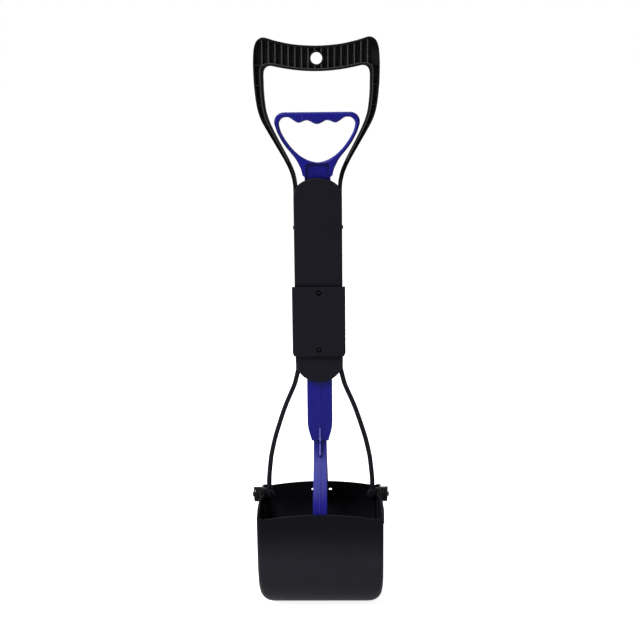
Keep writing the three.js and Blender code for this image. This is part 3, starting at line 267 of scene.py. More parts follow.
class ScoopGripSizes(PropertyGroup):
    """Sizes of the grip"""

    dip: length("How far the middle of the top edge sinks", 0.0101)
    bar_depth: length("Top of the horns to the underside", 0.040)
    leg_height: length("Top of the horns to the foot of the legs", 0.177)
    leg_width: length("Width of a leg beside the opening", 0.0119)
    foot_width: length("Width of a leg at its foot", 0.0051)
    foot_bend: length("Outer edge meets the rail this far below the foot", 0.0102)
    foot_tuck: length("Inner edge meets the rail this far below the foot", 0.0087)
    catch_drop: length("Middle of a snap catch below the legs' foot", 0.0506)
    catch_length: length("Length of a snap catch", 0.004)
    catch_proud: length("How far a snap catch stands out", 0.0013)
    rail_tuck: length("Width of the rail where a leg joins it", 0.0064)
    rim: length("Width of the channel's rim", 0.0028)
    leg_rim: length("Width of the rim beside the opening", 0.0038)
    least_slant: share("Least share of a row's length across the outline", 0.28)
    rim_round: length("Rounding of the rim's outer edge", 0.0016)
    rim_share: share("Most of the rim's width that this rounding takes", 0.75)
    web: length("Back wall of the channel", 0.0034)
    lip: length("Rounding of the rim's inner edge", 0.00035)
    back_round: length("Rounding of the back edges", 0.0015)
    rib_pitch: length("Distance between ribs", 0.00785)
    rib_width: length("Thickness of a rib", 0.0014)
    rib_shift: length("Ribs lie left of the hole's middle by this", 0.0018)
    bead: length("Radius of the bead along the channel's inner lip", 0.00055)
    rib_recess: length("Ribs lie below the rim by this", 0.0006)
    side_ribs: count("Ribs on each side of the hole", 8)
    leg_rib_drop: length("First cross rib of a leg below the top", 0.0325)
    leg_rib_pitch: length("Distance between cross ribs", 0.0235)
    leg_ribs: count("Cross ribs of each leg", 4)
    corner_foot: share("Share of the bar's depth where the corner ends", 0.86)
    hole: length("Radius of the hanging hole", 0.007)
    hole_drop: length("Top of the horns to the hole's middle", 0.0248)
    hole_wall: length("Wall round the hanging hole", 0.0022)


class ScoopPullerSizes(PropertyGroup):
    """Sizes of the pull handle, the stem and the links"""

    height: length("Top of the handle to its shoulder", 0.076)
    edge: length("Rounding of the handle", 0.0026)
    edge_depth: share("How much deeper than wide the handle's rounding is", 0.7)
    edge_growth: length("That rounding sets in over this height", 0.022)
    stem_edge: length("Rounding of the stem", 0.0009)
    stem_half: length("Half width of the stem", 0.0158)
    flange: length("Wall beside the rear pocket", 0.0022)
    pocket_wall: length("Wall beside the handle's pocket", 0.0015)
    pocket_drop: length("Top of the handle to the pocket", 0.0611)
    pocket_foot: length("Pocket's foot above the splice", 0.046)
    pocket_depth: length("Depth of the handle's pocket", 0.0035)
    seam_place: length("Parting line of the grip, left of the middle", 0.0179)
    seam_length: length("Length of that line", 0.0095)
    seam_half: length("Half width of that line", 0.0007)
    pocket_round: length("Rounding of the pocket's corners", 0.0032)
    lap: length("Top of the lap joint below the splice", 0.010)
    lap_foot: length("Foot of the lap joint below the splice", 0.027)
    rivet: length("Radius of the rivet through the lap joint", 0.002)
    rivet_head: length("Radius of its heads", 0.0036)
    rivet_height: length("Height of its heads", 0.0012)
    slot_half: length("Half width of the slots round the sleeve's bosses", 0.0051)
    slot_round: share("Rounding of their corners, as a share of that", 0.6)
    taper_drop: length("Splice down to the start of the taper", 0.131)
    foot_half: length("Half width of the stem's foot", 0.0109)
    rear_pocket_high: length("Top of the rear pocket below the splice", 0.084)
    rear_pocket_low: length("Foot of the rear pocket below the splice", 0.124)
    rear_pocket_depth: length("Depth of the rear pocket", 0.006)
    ridge_half: length("Half width of the stem's middle ridge", 0.0011)
    ridge_height: length("Height of the middle ridges", 0.00025)
    ridge_round: length("Rounding of the stem's ridge", 0.000225)
    link_half: length("Half width of a link's lower end", 0.0088)
    link_top_half: length("Half width of a link's upper end", 0.0082)
    link_full: length("Link pin down to the full width", 0.069)
    link_thickness: length("Thickness of a link's plate", 0.003)
    link_edge: length("Rounding of a link's edges", 0.0007)
    link_top: length("Link pin down to the plate's top", 0.0114)
    link_offset: length("Plate's middle from the stem's middle plane", 0.0022)
    rib_half: length("Half width of a link's rib", 0.0014)
    rib_height: length("Height of a link's rib", 0.0042)
    rib_foot: length("Link pin down to the rib's foot", 0.032)
    eye: length("Radius of a link's eye", 0.0037)
    fin_rise: length("Top of the front fin above the link pin", 0.0074)
    fin_reach: length("Front of the fin before the link pin", 0.0064)
    # The bead on the front rib is painted pale: a painted highlight along its rounded front
    rub: length("Radius of the rubbed bead on the front rib", 0.00125)
    rub_proud: length("How far that bead stands out", 0.0003)
    fin_corner: length("Cut corner of the fin", 0.0012)
    cheek: length("Thickness of the rear link's cheeks", 0.0027)
    fork_front: length("Front wall of the fork", 0.0015)
    fork_rear: length("Rear wall of the fork", 0.0013)
    barrel: length("Radius of a link's lower barrel", 0.0036)
    barrel_half: length("Half length of that barrel", 0.0042)
    lug_room: length("Plate's sides stop this far above the lug pin", 0.007)
    lug_ease: length("They narrow over this height", 0.0012)
    pin: length("Radius of a link's pins", 0.002)


class ScoopBucketSizes(PropertyGroup):
    """Sizes of the jaws, the springs and the pivot pins"""

    half: length("Half width of the bucket's rim", 0.079)
    wall: length("Wall of a jaw", 0.0024)
    rim_drop: length("Pivots down to the rim's corners", 0.0093)
    rim_arch: length("Middle of the rim above its corners", 0.0046)
    rim_dip: length("Rim beside its corners below them", 0.0018)
    corner_width: length("Width of the raised corners", 0.0045)
    corner_step: length("Half width of the step to them", 0.0004)
    rim_share: share("Top share of the walls that the rim's shape bends", 0.25)
    spread_low: length("Below this height the side walls are plain", 0.006)
    spread_high: length("Above this height they follow the ears", 0.03)
    corner_round: length("Rounding between front and side walls", 0.0045)
    foot_round: length("The same rounding at the foot", 0.009)
    foot_share: share("Foot share of the walls in which it changes over", 0.5)
    split: length("Each jaw's edge from the middle plane", 0.00008)
    ear: length("Radius of an ear", 0.0076)
    ear_gap: length("Gap between the ears of the two jaws", 0.00005)
    ear_reach: length("Side walls are straight up to here", 0.01075)
    shoulder: length("Side walls spread up to here", 0.022)
    shoulder_inset: length("Side wall there inside the rim", 0.0012)
    side_rise: length("Side wall's top edge above the pivots", 0.0034)
    side_reach: length("That edge is level up to here", 0.013)
    lip_round: length("Rounding of the jaws' edges", 0.0006)
    lug_wall: length("Thickness of a lug", 0.0036)
    lug_margin: length("Material round a lug's slot", 0.0024)
    lug_round: length("Rounding of a lug's free corners", 0.0016)
    slot_run: length("Length of a lug's slot", 0.0028)
    slot_rise: length("Rise of a lug's slot", 0.0007)
    window_place: length("Window from the centre line", 0.0116)
    window_width: length("Width of a window", 0.0038)
    window_height: length("Height of a window", 0.0028)
    window_drop: length("Pivots down to the windows", 0.016)
    window_cut: length("Half depth of the windows' cutters", 0.01)
    window_edge: length("Rounding at those cutters' ends", 0.0003)
    window_round: length("Rounding of the windows' corners", 0.0005)
    ledge_reach: length("Spring ledge from the pivot plane", 0.035)
    ledge_drop: length("Pivots down to a ledge's top", 0.0228)
    ledge_length: length("Length of a spring ledge", 0.008)
    ledge_height: length("Height of a spring ledge", 0.003)
    ledge_proud: length("Ledge outside the side wall", 0.0024)
    coil: length("Radius of a spring's curls", 0.0088)
    wire: length("Radius of the spring wire", 0.00105)
    coil_length: length("Between the end curls' middles", 0.0094)
    curls: count("Full curls of a spring", 4)
    coil_clearance: length("Front ear to the first curl", 0.0007)
    pin: length("Radius of a pivot pin", 0.0025)
    pin_cap: length("Radius of a pivot pin's cap", 0.0032)
    pin_cap_height: length("Height of that cap", 0.0012)
    pin_round: length("Rounding of a pivot pin's ends", 0.0005)


class ScoopFinishes(PropertyGroup):
    """Colours and surface of the mouldings and the steel"""

    black: colour("Colour of the black mouldings", (0.0074, 0.0069, 0.0106))
    # Edge colours: partly wear, partly a painted highlight on edges that catch the light
    black_edge: colour("Colour of their worn edges", (0.02, 0.02, 0.024))
    jaw: colour("Colour of the jaws near the rim", (0.0046, 0.0044, 0.0062))
    # Jaws painted darker near the rim and paler towards the foot: painted bounce light from the floor
    scuffed: colour("Colour of the jaws' scuffed lower part", (0.0165, 0.0158, 0.0208))
    scuff_top: length("Height up to which the jaws are scuffed", 0.064)
    scuff_fade: length("The scuffed colour fades over this height", 0.055)
    grip: colour("Colour of the grip frame", (0.0048, 0.0047, 0.0054))
    channel: colour("Colour inside the grip's channel", (0.0115, 0.0112, 0.0130))
    rim_depth: length("The channel's colour starts this far behind the rim", 0.004)
    # The ribs' pale colour is a painted highlight on their thin fronts
    rib: colour("Colour of the grip's ribs", (0.040, 0.040, 0.042))
    # Lighter edges of the grip: partly wear, partly a painted highlight
    rib_edge: colour("Colour of the grip's worn edges", (0.009, 0.009, 0.010))
    blue: colour("Colour of the blue mouldings", (0.0058, 0.0060, 0.158))
    # Links: a slightly lighter copy of the blue, painted paler still over a band of height: painted
    # highlight where they slope up towards the light
    link: colour("Colour of the links", (0.0078, 0.0080, 0.168))
    link_rub: colour("Colour of the links where they rub", (0.030, 0.033, 0.225))
    link_rub_low: length("Foot of the rubbed length of the links", 0.172)
    link_rub_high: length("Top of that length", 0.192)
    link_rub_fade: length("The rubbed colour fades over this height", 0.02)
    # Painted highlight on the front link's fin and bead
    rubbed: colour("Colour of the blue rib that rubs in the stem", (0.1, 0.1, 0.4))
    # Painted highlight on the handle's parting line
    seam: colour("Colour of the parting line of the pull handle", (0.024, 0.025, 0.21))
    # Lighter blue edges: partly wear, partly a painted highlight
    blue_edge: colour("Colour of their worn edges", (0.018, 0.019, 0.20))
    steel: colour("Colour of the blackened steel", (0.009, 0.009, 0.010))
    # Lighter steel edges: partly wear, partly a painted highlight
    steel_edge: colour("Colour of its worn edges", (0.05, 0.05, 0.055))
    grain: length("Size of the moulded grain", 0.0005)
    mottle: length("Size of the cloudy variation", 0.018)
    # Painted shade: how far the darkening from corners and pockets reaches
    recess: length("Width of the darker zone in corners and pockets", 0.006)
    # Width of the edges painted lighter, as wear and as a highlight
    edge_wear: length("Width of the lighter edges", 0.0005)
    edge_flat: share("Edges flatter than this aren't worn", 0.995)
    edge_sharp: share("Edges sharper than this are worn in full", 0.86)
    patches: length("Size of the patches in which edges are worn", 0.0128571)
    patch_low: share("Noise below which edges are worn least", 0.3)
    patch_high: share("Noise above which they are worn in full", 0.6)
    patch_least: share("Least share of the wear", 0.45)
    wave: length("Depth of the surface's gentle waves", 0.0006)
    wave_strength: share("Strength of those waves", 0.25)
    grain_strength: share("Strength of the grain", 0.35)
    cloud_dark: share("How much darker the cloudy tone gets", 0.18)
    cloud_light: share("How much lighter the cloudy tone gets", 0.22)
    gloss_range: share("How far the roughness follows the clouds", 0.08)
    # The next two shape the painted shade in corners and recesses
    recess_open: share("Openness below which a recess is darkest", 0.4)
    recess_tone: share("Share of its tone that the darkest recess keeps", 0.2)
    black_rough: share("Roughness of the black mouldings", 0.42)
    blue_rough: share("Roughness of the blue mouldings", 0.34)
    steel_rough: share("Roughness of the steel", 0.5)
    steel_metal: share("Metal share of the blackened steel", 0.3)
    jaw_gloss: share("Mirror strength of the jaws", 0.025)
    blue_gloss: share("Mirror strength of the blue mouldings", 0.1)


class ScoopStage(PropertyGroup):
    """Camera, lamps and floor"""

    camera_side: length("Camera to the right of the scoop", 0.0317)
    camera_distance: length("Camera before the scoop", 1.5)
    camera_height: length("Camera above the floor", 0.6881)
    yaw: angle("Camera turned to the left", 1.165)
    pitch: angle("Camera looks down", 12.084)
    roll: angle("Camera tilted", 0.579)
    field: angle("Angle of view", 29.15)
    key: amount("Power of the key lamp", 56)
    side: amount("Power of the left lamp", 34)
    back: amount("Power of the back lamp", 12)
    sky: amount("Strength of the sky", 0.22)
    lamp_aim: length("Height that the lamps point at", 0.35)
    floor_size: length("Half width of the floor", 30)
    floor_glow: amount("Light that the floor adds for the camera", 0.87)
    floor_tone: share("Brightness of the floor's colour", 0.86)
    floor_rough: share("Roughness of the floor", 0.9)


# Shapes


def mix(a, b, part):
    """The value that lies a share of the way from a to b."""
    return a + (b - a) * part


def ease(value, low, high):
    """0 below low, 1 above high, and smooth between them."""
    part = min(max((value - low) / (high - low), 0), 1)
    return part * part * (3 - 2 * part)


def smooth(points, steps, closed=False):
    """Points on a smooth curve through the given points."""
    total = len(points)
    spans = total if closed else total - 1
    made = []
    for k in range(spans):
        if closed:
            four = [points[(k + j) % total] for j in (-1, 0, 1, 2)]
        else:
            four = [points[min(max(k + j, 0), total - 1)] for j in (-1, 0, 1, 2)]
        for j in range(steps):
            t = j / steps
            made.append(tuple(
                b + (c - a) * t / 2 + (a - 2.5 * b + 2 * c - d / 2) * t**2
                + (1.5 * (b - c) + (d - a) / 2) * t**3
                for a, b, c, d in zip(*four)
            ))
    if not closed:
        made.append(tuple(points[-1]))
    return made


def value_at(path, place):
    """Second value of a path of pairs where its first value is place; the first value rises or falls."""
    for (a, first), (b, second) in zip(path, path[1:]):
        if min(a, b) <= place <= max(a, b) and a != b:
            return mix(first, second, (place - a) / (b - a))
    return path[0][1] if abs(place - path[0][0]) < abs(place - path[-1][0]) else path[-1][1]


def rounded(corners, radii, steps=3):
    """A closed outline whose corners are rounded, with steps + 1 points each."""
    if not hasattr(radii, "__len__"):
        radii = [radii] * len(corners)
    made = []
    for k, radius in enumerate(radii):
        corner = Vector(corners[k])
        before = Vector(corners[k - 1]) - corner
        after = Vector(corners[(k + 1) % len(corners)]) - corner
        half = before.angle(after) / 2
        most = min(before.length, after.length) * MOST_OF_SIDE
        run = min(radius / math.tan(half), most)
        start = corner + before.normalized() * run
        end = corner + after.normalized() * run
        centre = corner + (before.normalized() + after.normalized()).normalized() * (
            run / math.cos(half)
        )
        first = math.atan2(start.y - centre.y, start.x - centre.x)
        turn = math.atan2(end.y - centre.y, end.x - centre.x) - first
        turn = (turn + math.pi) % (2 * math.pi) - math.pi
        reach = (start - centre).length
        for j in range(steps + 1):
            at = first + turn * j / steps
            made.append((centre.x + reach * math.cos(at), centre.y + reach * math.sin(at)))
    return made


def rectangle(a0, a1, b0, b1):
    """Corners of a rectangle, anticlockwise."""
    return [(a0, b0), (a1, b0), (a1, b1), (a0, b1)]


def circle(radius, a, b, sides=SIDES):
    """A closed round outline, anticlockwise."""
    return [
        (a + radius * math.cos(2 * math.pi * k / sides),
         b + radius * math.sin(2 * math.pi * k / sides))
        for k in range(sides)
    ]


def on_side(side, a, b):
    """Two distances as places on one side of the middle, the lower place first."""
    return sorted((side * a, side * b))


def mirrored(points):
    """The left half that goes with a right half, in the order that goes on from it."""
    return [(-x, z) for x, z in reversed(points)]


def anticlockwise(loop):
    """The same closed loop, drawn anticlockwise."""
    area = sum(
        loop[k - 1][0] * loop[k][1] - loop[k][0] * loop[k - 1][1] for k in range(len(loop))
    )
    return loop if area > 0 else loop[::-1]


def inset(loop, distance):
    """A closed loop moved to its left by a distance, or by one for each point."""
    total = len(loop)
    made = []
    for k, (x, z) in enumerate(loop):
        before = Vector((x - loop[k - 1][0], z - loop[k - 1][1])).normalized()
        after = loop[(k + 1) % total]
        after = Vector((after[0] - x, after[1] - z)).normalized()
        far = distance[k] / max(1 + before.dot(after), LEAST_DIVISOR)
        made.append((x - (before.y + after.y) * far, z + (before.x + after.x) * far))
    return made


def add_object(name, mesh):
    """Links a new object at the origin."""
    piece = bpy.data.objects.new(name, mesh)
    bpy.context.scene.collection.objects.link(piece)
    return piece


def add_bmesh(name, made):
    """Turns a closed bmesh into an object whose faces point outwards."""
    bmesh.ops.remove_doubles(made, verts=made.verts, dist=1e-7)
    bmesh.ops.recalc_face_normals(made, faces=made.faces)
    mesh = bpy.data.meshes.new(name)
    made.to_mesh(mesh)
    made.free()
    return add_object(name, mesh)


def loft(name, rings, closed=False):
    """A skin over closed rings with equal counts of points, capped at both ends unless closed."""
    made = bmesh.new()
    rows = [[made.verts.new(point) for point in ring] for ring in rings]
    total = len(rings[0])
    pairs = list(zip(rows, rows[1:])) + ([(rows[-1], rows[0])] if closed else [])
    for one, two in pairs:
        for k in range(total):
            after = (k + 1) % total
            made.faces.new((one[k], one[after], two[after], two[k]))
    if not closed:
        made.faces.new(rows[0])
        made.faces.new(rows[-1])
    return add_bmesh(name, made)


PLANES = {
    "front": lambda a, b, depth: (a, depth, b),
    "side": lambda a, b, depth: (depth, a, b),
    "plan": lambda a, b, depth: (a, b, depth),
}


def plate(name, outside, low, high, edge, plane="front", holes=(), steps=3, sink=1, back=1):
    """A plate between two depths with rounded edges, whose radius may depend on the point.

    The rounding is sink times as deep as wide, and at the high end back times that at the low end.
    """
    made = bmesh.new()
    rims = ([], [])
    loops = [anticlockwise(outside)] + [anticlockwise(hole)[::-1] for hole in holes]
    for loop in loops:
        radii = [edge(point) if callable(edge) else edge for point in loop]
        rows = []
        for at_low, size in ((True, 1), (False, back)):
            half = []
            for k in range(steps + 1):
                turn = QUARTER * k / steps
                ring = inset(loop, [size * radius * (1 - math.sin(turn)) for radius in radii])
                depths = [size * sink * radius * (1 - math.cos(turn)) for radius in radii]
                half.append([
                    (point[0], point[1], low + depth if at_low else high - depth)
                    for point, depth in zip(ring, depths)
                ])
            rows += half if at_low else half[::-1]
        verts = [[made.verts.new(PLANES[plane](*point)) for point in row] for row in rows]
        total = len(loop)
        for one, two in zip(verts, verts[1:]):
            for k in range(total):
                after = (k + 1) % total
                made.faces.new((one[k], one[after], two[after], two[k]))
        for rim, row in zip(rims, (verts[0], verts[-1])):
            rim += [made.edges.get((row[k - 1], row[k])) for k in range(total)]
    for rim in rims:
        bmesh.ops.triangle_fill(made, edges=rim, use_beauty=True, use_dissolve=False)
    return add_bmesh(name, made)


def block(name, low, high, edge, corner=None, plane="front"):
    """A block between two corners, with rounded edges."""
    a, b, depth = {"front": (0, 2, 1), "plan": (0, 1, 2)}[plane]
    outline = rounded(
        rectangle(low[a], high[a], low[b], high[b]), edge if corner is None else corner
    )
    return plate(name, outline, low[depth], high[depth], edge, plane)


def turned(name, profile, centre, axis="x", sides=SIDES, closed=False):
    """A turned piece: pairs of radius and place along the axis, from the centre."""
    rings = []
    for radius, along in profile:
        ring = []
        for a, b in circle(radius, 0, 0, sides):
            offset = (along, a, b) if axis == "x" else (a, along, b)
            ring.append(tuple(c + o for c, o in zip(centre, offset)))
        rings.append(ring)
    return loft(name, rings, closed)


def bore(radius, centre, axis="x", sides=SIDES, reach=BORE_REACH):
    """A cutter for a round hole."""
    return turned("bore", [(radius, -reach), (radius, reach)], centre, axis, sides)


def round_end(radius, start, edge, steps=3):
    """Profile of a bar's rounded end."""
    turns = [QUARTER * k / steps for k in range(steps + 1)]
    return [
        (radius - edge + edge * math.sin(turn), start + edge * (1 - math.cos(turn)))
        for turn in turns
    ]


def domed(radius, start, end, edge):
    """Profile of a bar with rounded ends."""
    made = round_end(radius, start, edge)
    return made + [(r, start + end - along) for r, along in reversed(made)]


def settle(piece):
    """Applies the modifiers of a piece and removes them."""
    graph = bpy.context.evaluated_depsgraph_get()
    mesh = bpy.data.meshes.new_from_object(piece.evaluated_get(graph))
    piece.modifiers.clear()
    piece.data = mesh
    return piece


def combine(piece, others, operation):
    """Joins solids to a piece with UNION, or cuts them from it with DIFFERENCE."""
    for other in others:
        modifier = piece.modifiers.new(operation.lower(), "BOOLEAN")
        modifier.operation = operation
        modifier.solver = "MANIFOLD"
        modifier.object = other
    settle(piece)
    for other in others:
        bpy.data.objects.remove(other)
    return piece


def polish(piece):
    """Smooth shading that keeps flat faces flat and sharp edges sharp."""
    piece.data.shade_smooth()
    piece.data.set_sharp_from_angle(angle=SHARP)
    modifier = piece.modifiers.new("normals", "WEIGHTED_NORMAL")
    modifier.keep_sharp = True
    return settle(piece)


def paint(piece, finish):
    """Gives a piece one material."""
    piece.data.materials.clear()
    piece.data.materials.append(bpy.data.materials[finish])


def place(piece, body, finish, *nodes):
    """Gives a finished piece its material and its body, and hides the CAD nodes that it stands for."""
    paint(piece, finish)
    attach(piece, body)
    if nodes:
        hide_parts(*nodes)


def bend_to(piece, body, start, end, *nodes):
    """Gives a steel piece its material, bakes its placement into its mesh and hides the CAD nodes that
    it stands for. Its body is not used, and start and end change nothing.
    """
    paint(piece, STEEL)
    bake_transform(piece)
    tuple(start)
    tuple(end)
    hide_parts(*nodes)


# Geometry node trees


def fill(tree, socket, value):
    """Links an input to another node's output, or sets its value."""
    if isinstance(value, bpy.types.NodeSocket):
        tree.links.new(value, socket)
    else:
        socket.default_value = value


def node(tree, kind, *first, **settings):
    """A new node, its properties and inputs set by name and its first inputs set in order.

    The name from_min stands for the input From Min.
    """
    made = tree.nodes.new(kind)
    for key, value in settings.items():
        label = key.replace("_", " ").title()
        if label in made.inputs:
            fill(tree, made.inputs[label], value)
        else:
            setattr(made, key, value)
    for socket, value in zip(made.inputs, first):
        fill(tree, socket, value)
    return made


def new_tree(name, inputs):
    """A geometry node tree with named inputs; returns it with its input and output nodes."""
    tree = bpy.data.node_groups.new(name, "GeometryNodeTree")
    tree.interface.new_socket("Geometry", in_out="INPUT", socket_type="NodeSocketGeometry")
    for label, kind in inputs:
        tree.interface.new_socket(label, in_out="INPUT", socket_type=kind)
    tree.interface.new_socket("Geometry", in_out="OUTPUT", socket_type="NodeSocketGeometry")
    return tree, tree.nodes.new("NodeGroupInput"), tree.nodes.new("NodeGroupOutput")


def close_tree(tree, given, taken, geometry):
    """Ends a tree in Realize Instances, smooth shading and Set Material."""
    real = node(tree, "GeometryNodeRealizeInstances", geometry)
    shade = node(tree, "GeometryNodeSetShadeSmooth", geometry=real.outputs[0])
    painted = node(
        tree, "GeometryNodeSetMaterial", geometry=shade.outputs[0],
        material=given.outputs["Finish"],
    )
    tree.links.new(painted.outputs[0], taken.inputs[0])
    return tree


def wire_tree():
    """Sweeps a round wire along the edges of a mesh."""
    tree, given, taken = new_tree("Wire along a path", [
        ("Radius", "NodeSocketFloat"), ("Sides", "NodeSocketInt"), ("Finish", "NodeSocketMaterial"),
    ])
    line = node(tree, "GeometryNodeMeshToCurve", mesh=given.outputs["Geometry"])
    ring = node(
        tree, "GeometryNodeCurvePrimitiveCircle", radius=given.outputs["Radius"],
        resolution=given.outputs["Sides"],
    )
    sweep = node(
        tree, "GeometryNodeCurveToMesh", curve=line.outputs["Curve"],
        profile_curve=ring.outputs["Curve"], fill_caps=True,
    )
    return close_tree(tree, given, taken, sweep.outputs["Mesh"])


def repeat_tree():
    """Puts a copy of an object on each vertex, turned and stretched by the vertex's attributes."""
    tree, given, taken = new_tree("Copies on points", [
        ("Piece", "NodeSocketObject"), ("Finish", "NodeSocketMaterial"),
    ])
    source = node(tree, "GeometryNodeObjectInfo", object=given.outputs["Piece"])
    turn, stretch = (
        node(tree, "GeometryNodeInputNamedAttribute", data_type="FLOAT_VECTOR", name=label)
        for label in ("turn", "stretch")
    )
    rotation = node(tree, "FunctionNodeEulerToRotation", turn.outputs["Attribute"])
    spread = node(
        tree, "GeometryNodeInstanceOnPoints", points=given.outputs["Geometry"],
        instance=source.outputs["Geometry"], rotation=rotation.outputs[0],
        scale=stretch.outputs["Attribute"],
    )
    return close_tree(tree, given, taken, spread.outputs["Instances"])


def tree_named(name, maker):
    """The tree of that name, made the first time that it is asked for."""
    return bpy.data.node_groups.get(name) or maker()


def run_tree(piece, tree, values):
    """Runs a tree on a piece with its inputs set by name, and keeps the plain mesh."""
    modifier = piece.modifiers.new(tree.name, "NODES")
    modifier.node_group = tree
    for item in tree.interface.items_tree:
        if item.item_type == "SOCKET" and item.in_out == "INPUT" and item.name in values:
            modifier[item.identifier] = values[item.name]
    return settle(piece)


def wire(name, path, radius, finish, sides=16):
    """A round wire along a path of points."""
    mesh = bpy.data.meshes.new(name)
    mesh.from_pydata(path, [(k, k + 1) for k in range(len(path) - 1)], [])
    tree = tree_named("Wire along a path", wire_tree)
    values = {"Radius": radius, "Sides": sides, "Finish": bpy.data.materials[finish]}
    return run_tree(add_object(name, mesh), tree, values)


def copies(name, source, places, finish):
    """Copies of a source object at places, each given as point, turn and stretch."""
    mesh = bpy.data.meshes.new(name)
    mesh.from_pydata([point for point, _, _ in places], [], [])
    for label, column in (("turn", 1), ("stretch", 2)):
        layer = mesh.attributes.new(label, "FLOAT_VECTOR", "POINT")
        layer.data.foreach_set("vector", [v for row in places for v in row[column]])
    tree = tree_named("Copies on points", repeat_tree)
    piece = run_tree(
        add_object(name, mesh), tree, {"Piece": source, "Finish": bpy.data.materials[finish]}
    )
    bpy.data.objects.remove(source)
    return piece


# Finishes


def ramp(tree, value, start, end, low=0.0, high=1.0, kind="LINEAR"):
    """Goes from low to high while the value goes from start to end."""
    return node(
        tree, "ShaderNodeMapRange", interpolation_type=kind, value=value, from_min=start,
        from_max=end, to_min=low, to_max=high,
    ).outputs["Result"]


def maths(tree, operation, a, b):
    """Two numbers put together by an operation such as MULTIPLY."""
    return node(tree, "ShaderNodeMath", a, b, operation=operation).outputs["Value"]


def noise(tree, where, size, detail, roughness=0.5):
    """Cloudy noise with features of about that size, in metres."""
    return node(
        tree, "ShaderNodeTexNoise", vector=where, scale=1 / size, detail=detail,
        roughness=roughness,
    ).outputs["Fac"]


def blend_colours(tree, part, a, b):
    """The colour that lies a share of the way from a to b."""
    return node(
        tree, "ShaderNodeMix", data_type="RGBA", factor=part, a=a, b=b
    ).outputs["Result"]


def band(tree, along, low, high, fade):
    """1 between two places along an axis, fading to 0 beyond them."""
    return maths(
        tree, "MULTIPLY", ramp(tree, along, low - fade, low, kind="SMOOTHSTEP"),
        ramp(tree, along, high + fade, high, kind="SMOOTHSTEP"),
    )


def moulded(
    name, base, edge, settings, rough, metal=0.0, gloss=0.04, grain_depth=MOULDED_GRAIN,
    painted_shade_width=0.0, paler=None,
):
    """A moulded or blackened surface: fine grain, cloudy tone, edges painted a little lighter as wear
    and as a highlight, painted shade in recesses, and a paler band (axis, colour, low, high, fade),
    which the jaws and the links use for painted light."""
    material = bpy.data.materials.new(name)
    material.use_nodes = True
    tree = material.node_tree
    where = node(tree, "ShaderNodeTexCoord").outputs["Object"]

    # Cloudy tone, with painted shade: darker in corners and recesses where ambient occlusion finds
    # surfaces close by
    cloud = noise(tree, where, settings.mottle, detail=4, roughness=0.6)
    tone = ramp(tree, cloud, 0, 1, 1 - settings.cloud_dark, 1 + settings.cloud_light)
    if painted_shade_width:
        open_sky = node(tree, "ShaderNodeAmbientOcclusion", samples=8, distance=painted_shade_width)
        shade = ramp(tree, open_sky.outputs["AO"], settings.recess_open, 1, settings.recess_tone)
        tone = maths(tree, "MULTIPLY", tone, shade)

    # Colour, with its paler band
    plain = base
    if paler:
        axis, colour_there, low, high, fade = paler
        along = node(tree, "ShaderNodeSeparateXYZ", where).outputs[axis]
        part = band(tree, along, low, high, fade)
        plain = blend_colours(tree, part, (*base, 1), (*colour_there, 1))
    body = node(tree, "ShaderNodeVectorMath", plain, operation="SCALE", scale=tone)

    # Edges painted lighter in patches: partly wear from handling, partly a painted highlight where
    # rounded edges catch the light
    bevel = node(tree, "ShaderNodeBevel", samples=6, radius=settings.edge_wear)
    flat = node(tree, "ShaderNodeNewGeometry")
    agree = node(
        tree, "ShaderNodeVectorMath", bevel.outputs["Normal"], flat.outputs["Normal"],
        operation="DOT_PRODUCT",
    )
    worn_and_lit = ramp(tree, agree.outputs["Value"], settings.edge_flat, settings.edge_sharp)
    patches = ramp(
        tree, noise(tree, where, settings.patches, detail=3), settings.patch_low,
        settings.patch_high, settings.patch_least,
    )
    worn_and_lit = maths(tree, "MULTIPLY", worn_and_lit, patches)
    colours = blend_colours(tree, worn_and_lit, body.outputs["Vector"], (*edge, 1))

    # Grain and waves in relief
    grain = noise(tree, where, settings.grain, detail=2)
    relief = node(
        tree, "ShaderNodeBump", strength=settings.grain_strength, distance=grain_depth,
        height=grain,
    )
    wave = node(
        tree, "ShaderNodeBump", strength=settings.wave_strength, distance=settings.wave,
        height=cloud, normal=relief.outputs["Normal"],
    )

    shine = ramp(tree, cloud, 0, 1, rough - settings.gloss_range, rough + settings.gloss_range)
    shader = tree.nodes["Principled BSDF"]
    for label, value in (
        ("Base Color", colours), ("Roughness", shine), ("Metallic", metal),
        ("Specular IOR Level", gloss), ("Normal", wave.outputs["Normal"]),
    ):
        fill(tree, shader.inputs[label], value)


# Pieces


def flipped(rows):
    """The left half of the frame that goes with rows of its right half."""
    return [(-a, b, -c, d, depth) for a, b, c, d, depth in reversed(rows)]


def grip_rows(grip):
    """Rows of an outer point, an inner point and the channel's depth share, from the foot of the
    left leg over the grip to the foot of the right leg."""
    half, top = HIGH["upper_frame"].x, HIGH["upper_frame"].z
    foot, deep = top - grip.leg_height, grip.bar_depth
    right = [
        (across * half, top - high * grip.dip, across * half, top - low * deep, 1)
        for across, high, low in BAR_SHARES
    ]
    right += [
        (out_x * half, top - out_drop * deep, in_x * half, top - in_drop * deep, 1)
        for out_x, out_drop, in_x, in_drop in CORNER_SHARES
    ]
    for height, spread, width in GRIP_LEG_SHARES:
        z = mix(foot, top, height)
        x = mix(RAIL_HALF, half, spread)
        width = mix(grip.foot_width, grip.leg_width, width)
        right.append((x, z, x - width, z, ease(height, *CHANNEL_FOOT_SHARES)))
    return flipped(right[1:]) + right


